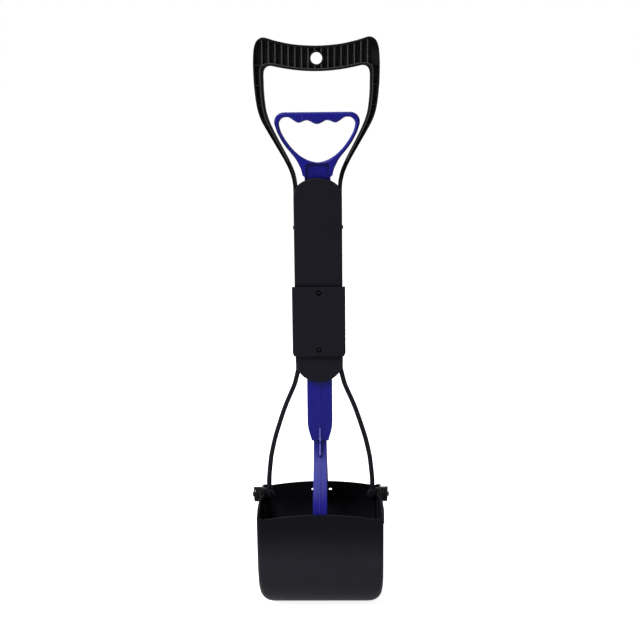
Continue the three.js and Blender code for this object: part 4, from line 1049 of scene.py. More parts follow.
def inner_rims(path, grip):
    """Width of the rim beside the opening at each row of the path, along the row. The rim is wider
    beside the legs than under the bar, and both widths are square to the opening's outline."""
    made = []
    for k, row in enumerate(path):
        before, after = path[max(k - 1, 0)], path[min(k + 1, len(path) - 1)]
        along = Vector((after[2] - before[2], after[3] - before[3])).normalized()
        square = Vector((along.y, -along.x))
        across = Vector((row[2] - row[0], row[3] - row[1]))
        rim = mix(grip.rim, grip.leg_rim, abs(square.x))
        slant = max(abs(across.normalized().dot(square)), grip.least_slant)
        made.append(min(rim / slant, across.length * rim / grip.leg_width))
    return made


def grip_section(outer, inner, depth, near, grip):
    """Section of the frame between an outer and an inner point: a channel open to the front."""
    across = Vector(inner) - Vector(outer)
    width = across.length
    across.normalize()
    rim = min(grip.rim, width * grip.rim / grip.leg_width)
    floor = mix(-FRAME_HALF + 2 * grip.lip, FRAME_HALF - grip.web, depth)
    corners = [
        (0, FRAME_HALF), (width, FRAME_HALF), (width, -FRAME_HALF), (width - near, -FRAME_HALF),
        (width - near, floor), (rim, floor), (rim, -FRAME_HALF), (0, -FRAME_HALF),
    ]
    edge = min(grip.rim_round, rim * grip.rim_share)
    radii = [
        grip.back_round, grip.back_round, edge, grip.lip, grip.lip * 2, grip.lip * 2, grip.lip, edge,
    ]
    return [
        (outer[0] + across.x * a, y, outer[1] + across.y * a) for a, y in rounded(corners, radii)
    ]


class SCOOP_OT_grip(Operator):
    """Grip frame: a channel with ribs, a hanging hole and rails between the covers"""

    bl_idname = "scoop.grip"
    bl_label = "Grip frame"

    def execute(self, context):
        grip = context.scene.scoop_grip
        shaft = context.scene.scoop_shaft
        top = HIGH["upper_frame"].z
        foot = top - grip.leg_height
        path = smooth(grip_rows(grip), 6)
        rail = [
            (RAIL_HALF, foot - grip.foot_bend, RAIL_HALF - grip.rail_tuck, foot - grip.foot_tuck, 0),
            (RAIL_HALF, foot - grip.foot_bend * 2, shaft.rail_inner, foot - grip.foot_bend * 2, 0),
            (RAIL_HALF, SPLICE + GAP, shaft.rail_inner, SPLICE + GAP, 0),
        ]
        whole = flipped(rail) + path + rail
        rings = [
            grip_section((a, b), (c, d), depth, near, grip)
            for (a, b, c, d, depth), near in zip(whole, inner_rims(whole, grip))
        ]
        piece = loft("grip_frame", rings)
        hole_z = top - grip.hole_drop
        wall = grip.hole_wall
        hole = bore(grip.hole + wall / 2, (0, 0, hole_z), "y", FINE_SIDES, FRAME_HALF * 2)
        combine(piece, [hole], "DIFFERENCE")
        ring = [
            (grip.hole + radius, along)
            for radius, along in rounded(
                rectangle(0, wall, -FRAME_HALF + grip.rib_recess, FRAME_HALF), grip.lip
            )
        ]
        boss = turned("boss", ring, (0, 0, hole_z), "y", FINE_SIDES, closed=True)
        middle = foot - grip.catch_drop
        proud, half = grip.catch_proud, grip.catch_length / 2
        catches = [
            block(
                "catch", (side * RAIL_HALF - proud, -FRAME_HALF / 2, middle - half),
                (side * RAIL_HALF + proud, FRAME_HALF / 2, middle + half), proud / 2,
            )
            for side in (LEFT, RIGHT)
        ]
        combine(piece, [boss, *catches], "UNION")
        place(polish(piece), "frame", GRIP_BLACK, "upper_frame")
        self.ribs(grip, path, hole_z)
        return {"FINISHED"}

    def ribs(self, grip, path, hole_z):
        """The rib field of the bar and the legs, and the bead round the channel's inner lip."""
        front = -FRAME_HALF + grip.rib_recess
        back = FRAME_HALF - grip.web + grip.lip
        middle_y, depth = (front + back) / 2, back - front
        half = grip.rib_width / 2
        unit = ((-half, -depth / 2, -0.5), (half, depth / 2, 0.5), half / 2)
        right = [row for row in path if row[0] >= 0]
        # The upright ribs and the lip's bead are painted pale, a painted highlight on thin fronts that
        # catch the light; the cross ribs keep the plain black
        for name, places, finish in (
            ("grip_ribs", self.bar_places(grip, right, middle_y, hole_z), HIGHLIGHT_BLACK),
            ("grip_cross_ribs", self.leg_places(grip, right, middle_y), BLACK),
        ):
            piece = copies(name, block("rib", *unit, plane="plan"), places, finish)
            place(polish(piece), "frame", finish)
        lip = []
        for (x0, z0, x1, z1, depth), near in zip(path, inner_rims(path, grip)):
            if depth == 1:
                inwards = Vector((x0 - x1, z0 - z1)).normalized() * near
                lip.append((x1 + inwards.x, -FRAME_HALF + grip.bead / 2, z1 + inwards.y))
        place(wire("grip_bead", lip, grip.bead, HIGHLIGHT_BLACK, 12), "frame", HIGHLIGHT_BLACK)

    @staticmethod
    def bar_places(grip, right, middle_y, hole_z):
        """Places of the bar's upright ribs, which stop at the wall round the hole."""
        top = HIGH["upper_frame"].z
        high_line = [(x, z) for x, z, _, _, _ in right if z > top - grip.bar_depth / 2]
        low_line = [(x, z) for _, _, x, z, _ in right if z > top - grip.bar_depth]
        half = grip.rib_width / 2
        reach = grip.hole + grip.hole_wall / 2
        places = []
        for k in range(-grip.side_ribs, grip.side_ribs + 1):
            x = k * grip.rib_pitch - grip.rib_shift
            high = value_at(high_line, abs(x)) - grip.rim / 2
            low = top - grip.bar_depth
            if abs(x) < low_line[-1][0]:
                low = value_at(low_line, abs(x)) + grip.rim / 2
            spans = [(low, high)]
            if abs(x) - half < reach:
                near = math.sqrt(reach**2 - max(abs(x) - half, 0) ** 2)
                spans = [(low, hole_z - near), (hole_z + near, high)]
            places += [
                ((x, middle_y, (z0 + z1) / 2), (0, 0, 0), (1, 1, z1 - z0)) for z0, z1 in spans
            ]
        return places

    @staticmethod
    def leg_places(grip, right, middle_y):
        """Places of the cross ribs of both legs, from the corners down."""
        top = HIGH["upper_frame"].z
        outer = [(z, x) for x, z, _, _, _ in right if z < top - grip.bar_depth / 2]
        inner = [(z, x) for _, _, x, z, _ in right if z < top - grip.bar_depth * grip.corner_foot]
        places = []
        for k in range(grip.leg_ribs):
            z = top - grip.leg_rib_drop - k * grip.leg_rib_pitch
            near = value_at(inner, z) + grip.rim / 2 if k else grip.side_ribs * grip.rib_pitch
            far = value_at(outer, z) - grip.rim / 2
            for side in (LEFT, RIGHT):
                middle = side * (near + far) / 2
                places.append(((middle, middle_y, z), (0, QUARTER, 0), (1, 1, far - near)))
        return places


def cover_outline(half, low, high, rise, steps=28):
    """A cover with square corners at the splice and an arc at its free end."""
    direction = 1 if high > SPLICE + GAP else -1
    near, far = (low, high) if direction > 0 else (high, low)
    made = [(half, near)]
    for k in range(steps + 1):
        turn = math.pi * k / steps
        made.append((half * math.cos(turn), far - direction * rise * (1 - math.sin(turn))))
    made.append((-half, near))
    return made


class SCOOP_OT_covers(Operator):
    """The four long covers, with their guide ribs inside"""

    bl_idname = "scoop.covers"
    bl_label = "Covers"

    def execute(self, context):
        shaft = context.scene.scoop_shaft
        inner_face = FRAME_HALF + GAP
        for level, rise in (("upper", shaft.upper_arc), ("lower", shaft.lower_arc)):
            for side in (FRONT, REAR):
                name = f"{level}_{END_NAMES[side]}_cover"
                low, high = LOW[name], HIGH[name]
                outline = cover_outline(high.x, low.z, high.z, rise)
                depths = on_side(side, inner_face, inner_face + shaft.cover_thickness)
                edges = (shaft.cover_edge, shaft.cover_lip)[::-side]
                piece = plate(
                    f"{name}_moulding", outline, *depths, edges[0], steps=4, back=edges[1] / edges[0]
                )
                tip = STEM_HALF_DEPTH + 2 * GAP
                ends = on_side(side, tip, inner_face + shaft.cover_thickness / 2)
                foot, head = (0, rise) if level == "upper" else (rise, 0)
                guides = []
                for across in (LEFT, RIGHT):
                    middle = across * shaft.guide_place
                    half = shaft.guide_width / 2
                    guides.append(block(
                        "guide", (middle - half, ends[0], low.z + foot + shaft.guide_end),
                        (middle + half, ends[1], high.z - head - shaft.guide_end), GAP,
                    ))
                combine(piece, guides, "UNION")
                place(polish(piece), "frame", BLACK, name)
        return {"FINISHED"}


class SCOOP_OT_sleeve(Operator):
    """The splice sleeve: a front cap with cheeks and counterbores, and a rear plate with bosses"""

    bl_idname = "scoop.sleeve"
    bl_label = "Sleeve"

    def execute(self, context):
        shaft = context.scene.scoop_shaft
        low, high = LOW["sleeve_front"], HIGH["sleeve_front"]
        half = high.x
        inner = low.y + shaft.sleeve_face
        small = shaft.cheek_round
        section = rounded(
            [(-half, high.y), (-half, low.y), (half, low.y), (half, high.y),
             (half - shaft.sleeve_wall, high.y), (half - shaft.sleeve_wall, inner),
             (-half + shaft.sleeve_wall, inner), (-half + shaft.sleeve_wall, high.y)],
            [small, shaft.sleeve_corner, shaft.sleeve_corner] + [small] * 5, steps=4,
        )
        piece = plate(
            "sleeve_front_moulding", section, low.z, high.z, shaft.sleeve_edge, "plan"
        )
        cuts = []
        for side in (LEFT, RIGHT):
            corner = rounded(
                [(half - shaft.sleeve_cut, low.z - half), (half * 2, low.z - half),
                 (half * 2, low.z + shaft.sleeve_cut_height),
                 (half, low.z + shaft.sleeve_cut_height), (half - shaft.sleeve_cut, low.z)],
                GAP,
            )
            corner = [(side * x, z) for x, z in corner]
            cuts.append(plate("corner", corner, low.y * 2, -low.y, GAP))
        heights = [MIDDLE[name].z for name in ("sleeve_screw_top", "sleeve_screw_bottom")]
        for z in heights:
            cuts.append(turned(
                "counterbore",
                [(shaft.counterbore, -shaft.counterbore_depth * 2),
                 (shaft.counterbore, shaft.counterbore_depth)],
                (0, low.y, z), "y", SCREW_SIDES,
            ))
        combine(piece, cuts, "DIFFERENCE")
        place(polish(piece), "frame", BLACK, "sleeve_front")

        low, high = LOW["sleeve_rear"], HIGH["sleeve_rear"]
        plate_low = high.y - shaft.sleeve_face
        outline = rounded(rectangle(low.x, high.x, low.z, high.z), shaft.sleeve_cut)
        piece = plate("sleeve_rear_moulding", outline, plate_low, high.y, shaft.sleeve_edge)
        bosses = [
            turned("boss", domed(shaft.boss, low.y, plate_low + ROOT, GAP), (0, 0, z), "y")
            for z in heights
        ]
        combine(piece, bosses, "UNION")
        place(polish(piece), "frame", BLACK, "sleeve_rear")
        return {"FINISHED"}


class SCOOP_OT_lower_legs(Operator):
    """The bowed lower legs with their rails and pivot brackets"""

    bl_idname = "scoop.lower_legs"
    bl_label = "Lower legs"

    def execute(self, context):
        shaft = context.scene.scoop_shaft
        spread = HIGH["lower_right_leg"].x
        start = SPLICE - shaft.leg_drop
        points = [
            (mix(RAIL_HALF, spread, out), start - fall * (start - PIVOT))
            for fall, out in LOWER_LEG_SHARES
        ]
        points[-1] = (spread, PIVOT + shaft.bracket / 2)
        outer = smooth([(RAIL_HALF, start + shaft.leg_tuck), *points], 5)
        width = shaft.leg_width
        rings = [
            (RAIL_HALF, z, shaft.rail_inner, z)
            for z in (SPLICE - GAP, start + shaft.leg_tuck * 3)
        ]
        rings += [(x, z, x - width, z) for x, z in outer]
        for side in (LEFT, RIGHT):
            made = []
            for x0, z0, x1, z1 in rings:
                depth = mix(shaft.leg_depth, FRAME_HALF, ease(z0, start - width, start + width))
                section = rounded(rectangle(x1, x0, -depth, depth), shaft.leg_edge)
                made.append([
                    (side * x, y, mix(z1, z0, (x - x1) / (x0 - x1))) for x, y in section
                ])
            name = f"lower_{SIDE_NAMES[side]}_leg"
            piece = loft(f"{name}_moulding", made)
            ends = on_side(side, spread - shaft.bracket_wall, spread)
            size, corner = shaft.bracket, shaft.bracket_corner
            outline = rounded(
                rectangle(-size, size, PIVOT - size, PIVOT + size), [size, size, corner, corner],
                steps=8,
            )
            bracket = plate("bracket", outline, *ends, shaft.bracket_edge, "side")
            combine(piece, [bracket], "UNION")
            place(polish(piece), "frame", BLACK, name)
        return {"FINISHED"}


class SCOOP_OT_pull_handle(Operator):
    """The pull handle with its finger profile, pockets and upper stem"""

    bl_idname = "scoop.pull_handle"
    bl_label = "Pull handle"

    def execute(self, context):
        puller = context.scene.scoop_puller
        top, half = HIGH["pull_handle"].z, HIGH["pull_handle"].x
        shoulder = top - puller.height
        outer = [(x * half, top - drop * puller.height) for x, drop in HANDLE_OUTER_SHARES]
        inner = [(x * half, top - drop * puller.height) for x, drop in HANDLE_INNER_SHARES]
        outer = smooth(outer, 5)
        right = [
            *outer,
            (puller.stem_half + puller.flange, shoulder),
            (puller.stem_half, shoulder - puller.flange),
            (puller.stem_half, SPLICE - puller.lap_foot),
        ]
        opening = smooth([*inner, *mirrored(inner)[1:-1]], 4, closed=True)
        slot = boss_slot(puller, "sleeve_screw_top")
        grown = shoulder + puller.edge_growth

        def edge(point):
            return mix(puller.stem_edge, puller.edge, ease(point[1], shoulder, grown))

        piece = plate(
            "pull_handle_moulding", [*right, *mirrored(right)], -STEM_HALF_DEPTH,
            STEM_HALF_DEPTH, edge, holes=[opening, slot], steps=4, sink=1 + puller.edge_depth,
        )
        pocket_half = puller.stem_half - puller.pocket_wall
        pocket_top = top - puller.pocket_drop
        pockets = []
        for side in (FRONT, REAR):
            depths = on_side(side, STEM_HALF_DEPTH - puller.pocket_depth, STEM_HALF_DEPTH * 2)
            outline = rounded(
                rectangle(-pocket_half, pocket_half, SPLICE + puller.pocket_foot, pocket_top),
                puller.pocket_round, steps=5,
            )
            pockets.append(plate("pocket", outline, *depths, CUT_EDGE))
        lap = block(
            "lap", (-puller.stem_half * 2, -GAP / 2, SPLICE - puller.lap_foot * 2),
            (puller.stem_half * 2, STEM_HALF_DEPTH * 2, SPLICE - puller.lap), GAP,
        )
        combine(piece, [*pockets, lap, rivet_room(puller, FRONT)], "DIFFERENCE")
        seam = block(
            "seam",
            (-puller.seam_place - puller.seam_half, -STEM_HALF_DEPTH - GAP / 4,
             top - puller.seam_length),
            (-puller.seam_place + puller.seam_half, -STEM_HALF_DEPTH + puller.edge,
             top - puller.edge), GAP / 4,
        )
        place(polish(piece), "puller", BLUE, "pull_handle")
        # The parting line is painted paler: a painted highlight on its hairline ridge
        seam.name = "handle_parting_line"
        place(polish(seam), "puller", SEAM_BLUE)
        return {"FINISHED"}


def boss_slot(puller, screw):
    """Slot round a boss of the sleeve, with room for the stroke."""
    half, z = puller.slot_half, MIDDLE[screw].z
    return rounded(rectangle(-half, half, z - STROKE - half, z + half), half * puller.slot_round)


def rivet_room(puller, side):
    """Hole and seat of the lap joint's rivet in the stem on that side."""
    head = puller.rivet_head + GAP
    hole = puller.rivet + GAP
    seat = STEM_HALF_DEPTH - puller.rivet_height - GAP
    far = STEM_HALF_DEPTH * 2
    profile = [(head, side * far), (head, side * seat), (hole, side * seat), (hole, -side * far)]
    z = SPLICE - (puller.lap + puller.lap_foot) / 2
    return turned("rivet_room", profile, (0, 0, z), "y")


class SCOOP_OT_lower_stem(Operator):
    """The lower stem with its middle ridge, rear pocket and fork"""

    bl_idname = "scoop.lower_stem"
    bl_label = "Lower stem"

    def execute(self, context):
        puller = context.scene.scoop_puller
        foot = LOW["lower_stem"].z
        start = SPLICE - puller.taper_drop
        taper = smooth([
            (mix(puller.stem_half, puller.foot_half, inwards), mix(start, foot, down))
            for down, inwards in STEM_TAPER_SHARES
        ], 5)
        right = [(puller.stem_half, SPLICE - puller.lap - GAP), *taper]
        slot = boss_slot(puller, "sleeve_screw_bottom")
        piece = plate(
            "lower_stem_moulding", [*right, *mirrored(right)], -STEM_HALF_DEPTH,
            STEM_HALF_DEPTH, puller.stem_edge, holes=[slot], steps=4,
        )
        cover_foot = LOW["lower_front_cover"].z
        ridge = block(
            "ridge",
            (-puller.ridge_half, -STEM_HALF_DEPTH - puller.ridge_height, LINK_PIN + puller.fin_rise),
            (puller.ridge_half, -STEM_HALF_DEPTH + ROOT, cover_foot), puller.ridge_round,
        )
        combine(piece, [ridge], "UNION")
        pocket_half = puller.stem_half - puller.flange
        pocket = block(
            "pocket",
            (-pocket_half, STEM_HALF_DEPTH - puller.rear_pocket_depth, SPLICE - puller.rear_pocket_low),
            (pocket_half, STEM_HALF_DEPTH * 2, SPLICE - puller.rear_pocket_high),
            CUT_EDGE, puller.pocket_round,
        )
        fork_half = puller.rib_half + puller.cheek + 2 * GAP
        slit_half = puller.rib_half + GAP
        under = foot - puller.eye
        back = STEM_HALF_DEPTH - puller.fork_rear
        fork = block(
            "fork", (-fork_half, -STEM_HALF_DEPTH + puller.fork_front, under),
            (fork_half, back, LINK_PIN + puller.eye + GAP), FINE_EDGE,
        )
        slit = block(
            "slit", (-slit_half, -STEM_HALF_DEPTH * 2, under),
            (slit_half, back, LINK_PIN + puller.fin_rise + GAP), FINE_EDGE,
        )
        lap = block(
            "lap", (-puller.stem_half * 2, -STEM_HALF_DEPTH * 2, SPLICE - puller.lap_foot - GAP),
            (puller.stem_half * 2, GAP / 2, SPLICE), GAP,
        )
        hole = bore(puller.pin + GAP, (0, 0, LINK_PIN))
        cuts = [pocket, fork, slit, hole, lap, rivet_room(puller, REAR)]
        combine(piece, cuts, "DIFFERENCE")
        place(polish(piece), "puller", BLUE, "lower_stem")
        return {"FINISHED"}


def bezier(start, one, two, end, steps=96):
    """Points on a cubic curve with its directions, close enough for the lugs' narrow slots."""
    made = []
    for k in range(steps + 1):
        t = k / steps
        point = (
            start * (1 - t) ** 3 + one * 3 * t * (1 - t) ** 2 + two * 3 * t * t * (1 - t)
            + end * t**3
        )
        along = (
            (one - start) * (1 - t) ** 2 + (two - one) * 2 * t * (1 - t) + (end - two) * t * t
        ).normalized()
        made.append((point, along))
    return made


class SCOOP_OT_links(Operator):
    """The two links: curved plates with a rib, eyes for the stem and a barrel for the lug pin"""

    bl_idname = "scoop.links"
    bl_label = "Links"

    def execute(self, context):
        puller = context.scene.scoop_puller
        for side in (FRONT, REAR):
            self.link(puller, side)
        return {"FINISHED"}

    def link(self, puller, side):
        """A link with its rib, eyes and barrel, and the front one's pale bead, a painted highlight."""
        name = f"{END_NAMES[side]}_link"
        lug = Vector((MIDDLE[f"{name}_pin"].y * side, MIDDLE[f"{name}_pin"].z))
        start = Vector((puller.link_offset, LINK_PIN - puller.link_top))
        bends = [
            Vector((mix(start.x, lug.x, reach), mix(start.y, lug.y, fall)))
            for reach, fall in LINK_BEND_SHARES
        ]
        path = bezier(start, *bends, lug)
        half = puller.link_thickness / 2
        ridge = puller.ridge_height
        crest, skirt = ridge * 2, ridge * 3
        rings = []
        stop = lug.y + puller.lug_room
        for point, along in path:
            wide = mix(
                puller.link_top_half, puller.link_half,
                min((LINK_PIN - point.y) / puller.link_full, 1),
            )
            wide = mix(puller.barrel_half, wide, ease(point.y, stop - puller.lug_ease, stop))
            section = rounded(
                [(-wide, -half), (wide, -half), (wide, half), (skirt, half),
                 (crest, half + ridge), (-crest, half + ridge), (-skirt, half), (-wide, half)],
                [puller.link_edge] * 3 + [ridge / 3] * 4 + [puller.link_edge],
            )
            rings.append([
                (x, side * (point.x - along.y * out), point.y + along.x * out)
                for x, out in section
            ])
        piece = loft(f"{name}_moulding", rings)

        # Rib down the middle, from the eye or fin to its foot
        upper = [row for row in path if row[0].y > LINK_PIN - puller.rib_foot]
        ribbed = [(point.x, point.y) for point, _ in upper]
        proud = [
            tuple(point + Vector((-along.y, along.x)) * (half + puller.rib_height))
            for point, along in upper[:-1]
        ]
        outline = [(side * a, b) for a, b in (*ribbed, *reversed(proud))]
        extras = [plate("rib", outline, -puller.rib_half, puller.rib_half, FINE_EDGE, "side")]
        strap_foot = start.y - puller.link_thickness
        if side == FRONT:
            face = puller.link_offset + half + puller.rib_height
            strap = [
                (-puller.fin_reach, LINK_PIN + puller.fin_rise - puller.fin_corner),
                (-face, strap_foot), (-puller.link_offset + half, strap_foot),
                (puller.eye, LINK_PIN), (0, LINK_PIN + puller.fin_rise),
                (-puller.fin_reach + puller.fin_corner, LINK_PIN + puller.fin_rise),
            ]
            places = [(-puller.rib_half, puller.rib_half)]
        else:
            strap = [
                (-puller.eye, LINK_PIN), (puller.link_offset - half, strap_foot),
                (puller.link_offset + half, strap_foot), (puller.eye, LINK_PIN),
            ]
            near = puller.rib_half + GAP
            places = [(-near - puller.cheek, -near), (near, near + puller.cheek)]
        for low, high in places:
            eye = domed(puller.eye, low, high, FINE_EDGE)
            extras.append(plate("strap", strap, low, high, FINE_EDGE, "side"))
            extras.append(turned("eye", eye, (0, 0, LINK_PIN)))
        barrel = domed(puller.barrel, -puller.barrel_half, puller.barrel_half, FINE_EDGE)
        foot = (0, side * lug.x, lug.y)
        extras.append(turned("barrel", barrel, foot))
        combine(piece, extras, "UNION")
        bores = [bore(puller.pin + GAP, centre) for centre in ((0, 0, LINK_PIN), foot)]
        combine(piece, bores, "DIFFERENCE")
        place(polish(piece), name, LINK_BLUE, name)
        if side == FRONT:
            # The front rib's pale bead is a painted highlight where its rounded front catches the light
            sunk = puller.rub - puller.rub_proud
            line = [*strap[:2], *((-a, b) for a, b in proud if b < strap_foot)]
            rub = wire(
                "front_link_rub", [(0, y + sunk, z) for y, z in line], puller.rub, GLEAM_BLUE
            )
            place(rub, name, GLEAM_BLUE)


class JawShape:
    """The outer skin of a jaw, as a function of the place along its wall and down its profile."""

    side_steps, corner_steps, front_steps = 24, 6, 40

    def __init__(self, bucket, side):
        self.name = f"{END_NAMES[side]}_jaw"
        self.bucket = bucket
        self.side = side
        self.depth = HIGH["rear_jaw"].y
        self.half = bucket.half
        self.ear_outer = HIGH["lower_right_leg"].x + GAP + bucket.wall
        if side == FRONT:
            self.ear_outer += bucket.ear_gap + bucket.wall
        self.rim = PIVOT - bucket.rim_drop
        profile = smooth(JAW_PROFILE_SHARES, 5)
        self.profile = [(reach * self.depth, height * self.rim) for reach, height in profile]
        widths = smooth(JAW_WIDTH_SHARES, 6)
        self.widths = [(height * self.rim, across * self.half) for across, height in widths]

    def wall_face(self, reach):
        """Outer face of a side wall above the foot."""
        bucket = self.bucket
        shoulder = self.half - bucket.shoulder_inset
        if reach < bucket.shoulder:
            return mix(self.ear_outer, shoulder, ease(reach, bucket.ear_reach, bucket.shoulder))
        return mix(shoulder, self.half, (reach - bucket.shoulder) / (self.depth - bucket.shoulder))

    def top_edge(self, across, reach, on_front):
        """Height of the top edge over the rim's corners."""
        bucket = self.bucket
        if on_front:
            arch_half = self.half - bucket.wall - bucket.corner_width
            part = abs(across) / arch_half
            arch = (bucket.rim_arch + bucket.rim_dip) * (1 - min(part, 1) ** 2) - bucket.rim_dip
            step = bucket.corner_step
            return mix(arch, 0, ease(abs(across), arch_half - step, arch_half + 2 * step))
        rise = bucket.side_rise + bucket.rim_drop
        return mix(rise, 0, max(reach - bucket.side_reach, 0) / (self.depth - bucket.side_reach))

    def stations(self):
        """Places along the wall, from the left ear round the front to the right ear."""
        side = [("side", k / self.side_steps) for k in range(self.side_steps)]
        corner = [("corner", k / self.corner_steps) for k in range(self.corner_steps + 1)]
        front = [("front", k / self.front_steps) for k in range(1, self.front_steps)]
        left = [(kind, LEFT, part) for kind, part in side + corner]
        right = [(kind, RIGHT, part) for kind, part in reversed(side + corner)]
        return left + [(kind, 0, part) for kind, part in front] + right

    def point(self, station, reach, height):
        """A point of the skin on a station of the wall, from the profile's reach and height."""
        kind, way, part = station
        bucket = self.bucket
        level = height / self.rim
        wide = value_at(self.widths, min(height, self.rim))
        keep = ease(height, bucket.spread_low, bucket.spread_high)
        turn = mix(bucket.foot_round, bucket.corner_round, ease(level, 0, bucket.foot_share))

        def side_x(at):
            return wide - (self.half - self.wall_face(at)) * keep

        if kind == "side":
            at = mix(bucket.split, reach - turn, part)
            x, y, on_front = way * side_x(at), at, False
        elif kind == "corner":
            swing = QUARTER * part
            x = way * (side_x(reach - turn) - turn + turn * math.cos(swing))
            y, on_front = reach - turn + turn * math.sin(swing), part > 0.5
        else:
            end = side_x(reach - turn) - turn
            x, y, on_front = mix(-end, end, part), reach, True
        lift = self.top_edge(x, y, on_front) * max(1 - (1 - level) / bucket.rim_share, 0)
        return (x, self.side * y, height + lift)

    def skin(self):
        """The open outer skin as a mesh object."""
        made = bmesh.new()
        stations = self.stations()
        rows = []
        for reach, height in self.profile:
            rows.append([
                made.verts.new(self.point(station, reach, height)) for station in stations
            ])
        for one, two in zip(rows, rows[1:]):
            for k in range(len(stations) - 1):
                made.faces.new((one[k], one[k + 1], two[k + 1], two[k]))
        made.faces.new(rows[-1])
        made.normal_update()
        made.faces.ensure_lookup_table()
        middle = made.faces[len(stations) // 2]
        if middle.normal.y * self.side < 0:
            bmesh.ops.reverse_faces(made, faces=made.faces)
        mesh = bpy.data.meshes.new(self.name)
        made.to_mesh(mesh)
        made.free()
        return add_object(f"{self.name}_moulding", mesh)


class SCOOP_OT_jaws(Operator):
    """The two jaws of the bucket with ears, lugs, ledges and rim"""

    bl_idname = "scoop.jaws"
    bl_label = "Jaws"

    def execute(self, context):
        bucket = context.scene.scoop_bucket
        puller = context.scene.scoop_puller
        for side in (FRONT, REAR):
            self.jaw(bucket, puller, side)
        return {"FINISHED"}

    def jaw(self, bucket, puller, side):
        """A jaw: the skin made solid, with a rounded lip, joined parts and cuts."""
        shape = JawShape(bucket, side)
        piece = shape.skin()
        shell = piece.modifiers.new("wall", "SOLIDIFY")
        shell.thickness = bucket.wall
        shell.offset = -1
        shell.use_even_offset = True
        shell.use_quality_normals = True
        settle(piece)
        self.mark_lip(piece, bucket)
        lip = piece.modifiers.new("lip", "BEVEL")
        lip.width = bucket.lip_round
        lip.segments = 2
        lip.limit_method = "WEIGHT"
        settle(piece)
        combine(piece, self.extras(shape, bucket, puller), "UNION")
        combine(piece, self.cuts(shape, bucket, puller), "DIFFERENCE")
        place(polish(piece), shape.name, JAW_BLACK, shape.name)

    @staticmethod
    def mark_lip(piece, bucket):
        """Marks the sharp edges for rounding, but not those where the two jaws meet."""
        made = bmesh.new()
        made.from_mesh(piece.data)
        weight = made.edges.layers.float.new("bevel_weight_edge")
        for edge in made.edges:
            meets = all(abs(vert.co.y) < bucket.wall / 2 for vert in edge.verts)
            sharp = edge.is_manifold and edge.calc_face_angle() > SHARP
            edge[weight] = 1.0 if sharp and not meets else 0.0
        made.to_mesh(piece.data)
        made.free()

    def extras(self, shape, bucket, puller):
        """Ears, lugs and spring ledges."""
        side = shape.side
        made = []
        pin = f"{END_NAMES[side]}_link_pin"
        slot = (HIGH[pin].z - LOW[pin].z) / 2 + GAP
        outer_y, lug_z = abs(MIDDLE[pin].y), MIDDLE[pin].z
        inner_y, rise = outer_y - bucket.slot_run, bucket.slot_rise
        margin = slot + bucket.lug_margin
        outline = rounded(
            rectangle(inner_y - margin, shape.depth - bucket.wall / 2, lug_z - margin, lug_z + margin),
            [bucket.lug_round, GAP, GAP, bucket.lug_round],
        )
        hole = [(a, b) for a, b in circle(slot, outer_y, lug_z, SLOT_SIDES) if a >= outer_y]
        hole += [
            (a, b) for a, b in circle(slot, inner_y, lug_z + rise, SLOT_SIDES) if a <= inner_y
        ]
        centre = ((outer_y + inner_y) / 2, lug_z + rise / 2)
        hole.sort(key=lambda p: math.atan2(p[1] - centre[1], p[0] - centre[0]))
        outline, hole = ([(side * a, b) for a, b in loop] for loop in (outline, hole))
        for way in (LEFT, RIGHT):
            ear = on_side(way, shape.ear_outer - bucket.wall, shape.ear_outer)
            made.append(turned(
                "ear", domed(bucket.ear, *ear, bucket.lip_round), (0, 0, PIVOT),
                sides=FINE_SIDES,
            ))
            near = puller.barrel_half + GAP
            depths = on_side(way, near, near + bucket.lug_wall)
            made.append(plate("lug", outline, *depths, FINE_EDGE, "side", holes=[hole]))
            face = shape.wall_face(bucket.ledge_reach)
            x0, x1 = on_side(way, face - bucket.wall / 2, face + bucket.ledge_proud)
            half = bucket.ledge_length / 2
            y0, y1 = on_side(side, bucket.ledge_reach - half, bucket.ledge_reach + half)
            z = PIVOT - bucket.ledge_drop
            made.append(block(
                "ledge", (x0, y0, z - bucket.ledge_height), (x1, y1, z), CUT_EDGE,
            ))
        return made

    def cuts(self, shape, bucket, puller):
        """Pivot bores, and the windows of the rear jaw."""
        made = [bore(bucket.pin + GAP, (0, 0, PIVOT), reach=2 * bucket.half)]
        if shape.side == REAR:
            across, high = bucket.window_width / 2, bucket.window_height / 2
            z = PIVOT - bucket.window_drop
            for way in (LEFT, RIGHT):
                x = way * bucket.window_place
                made.append(block(
                    "window", (x - across, shape.depth - bucket.window_cut, z - high),
                    (x + across, shape.depth + bucket.window_cut, z + high),
                    bucket.window_edge, bucket.window_round,
                ))
        return made


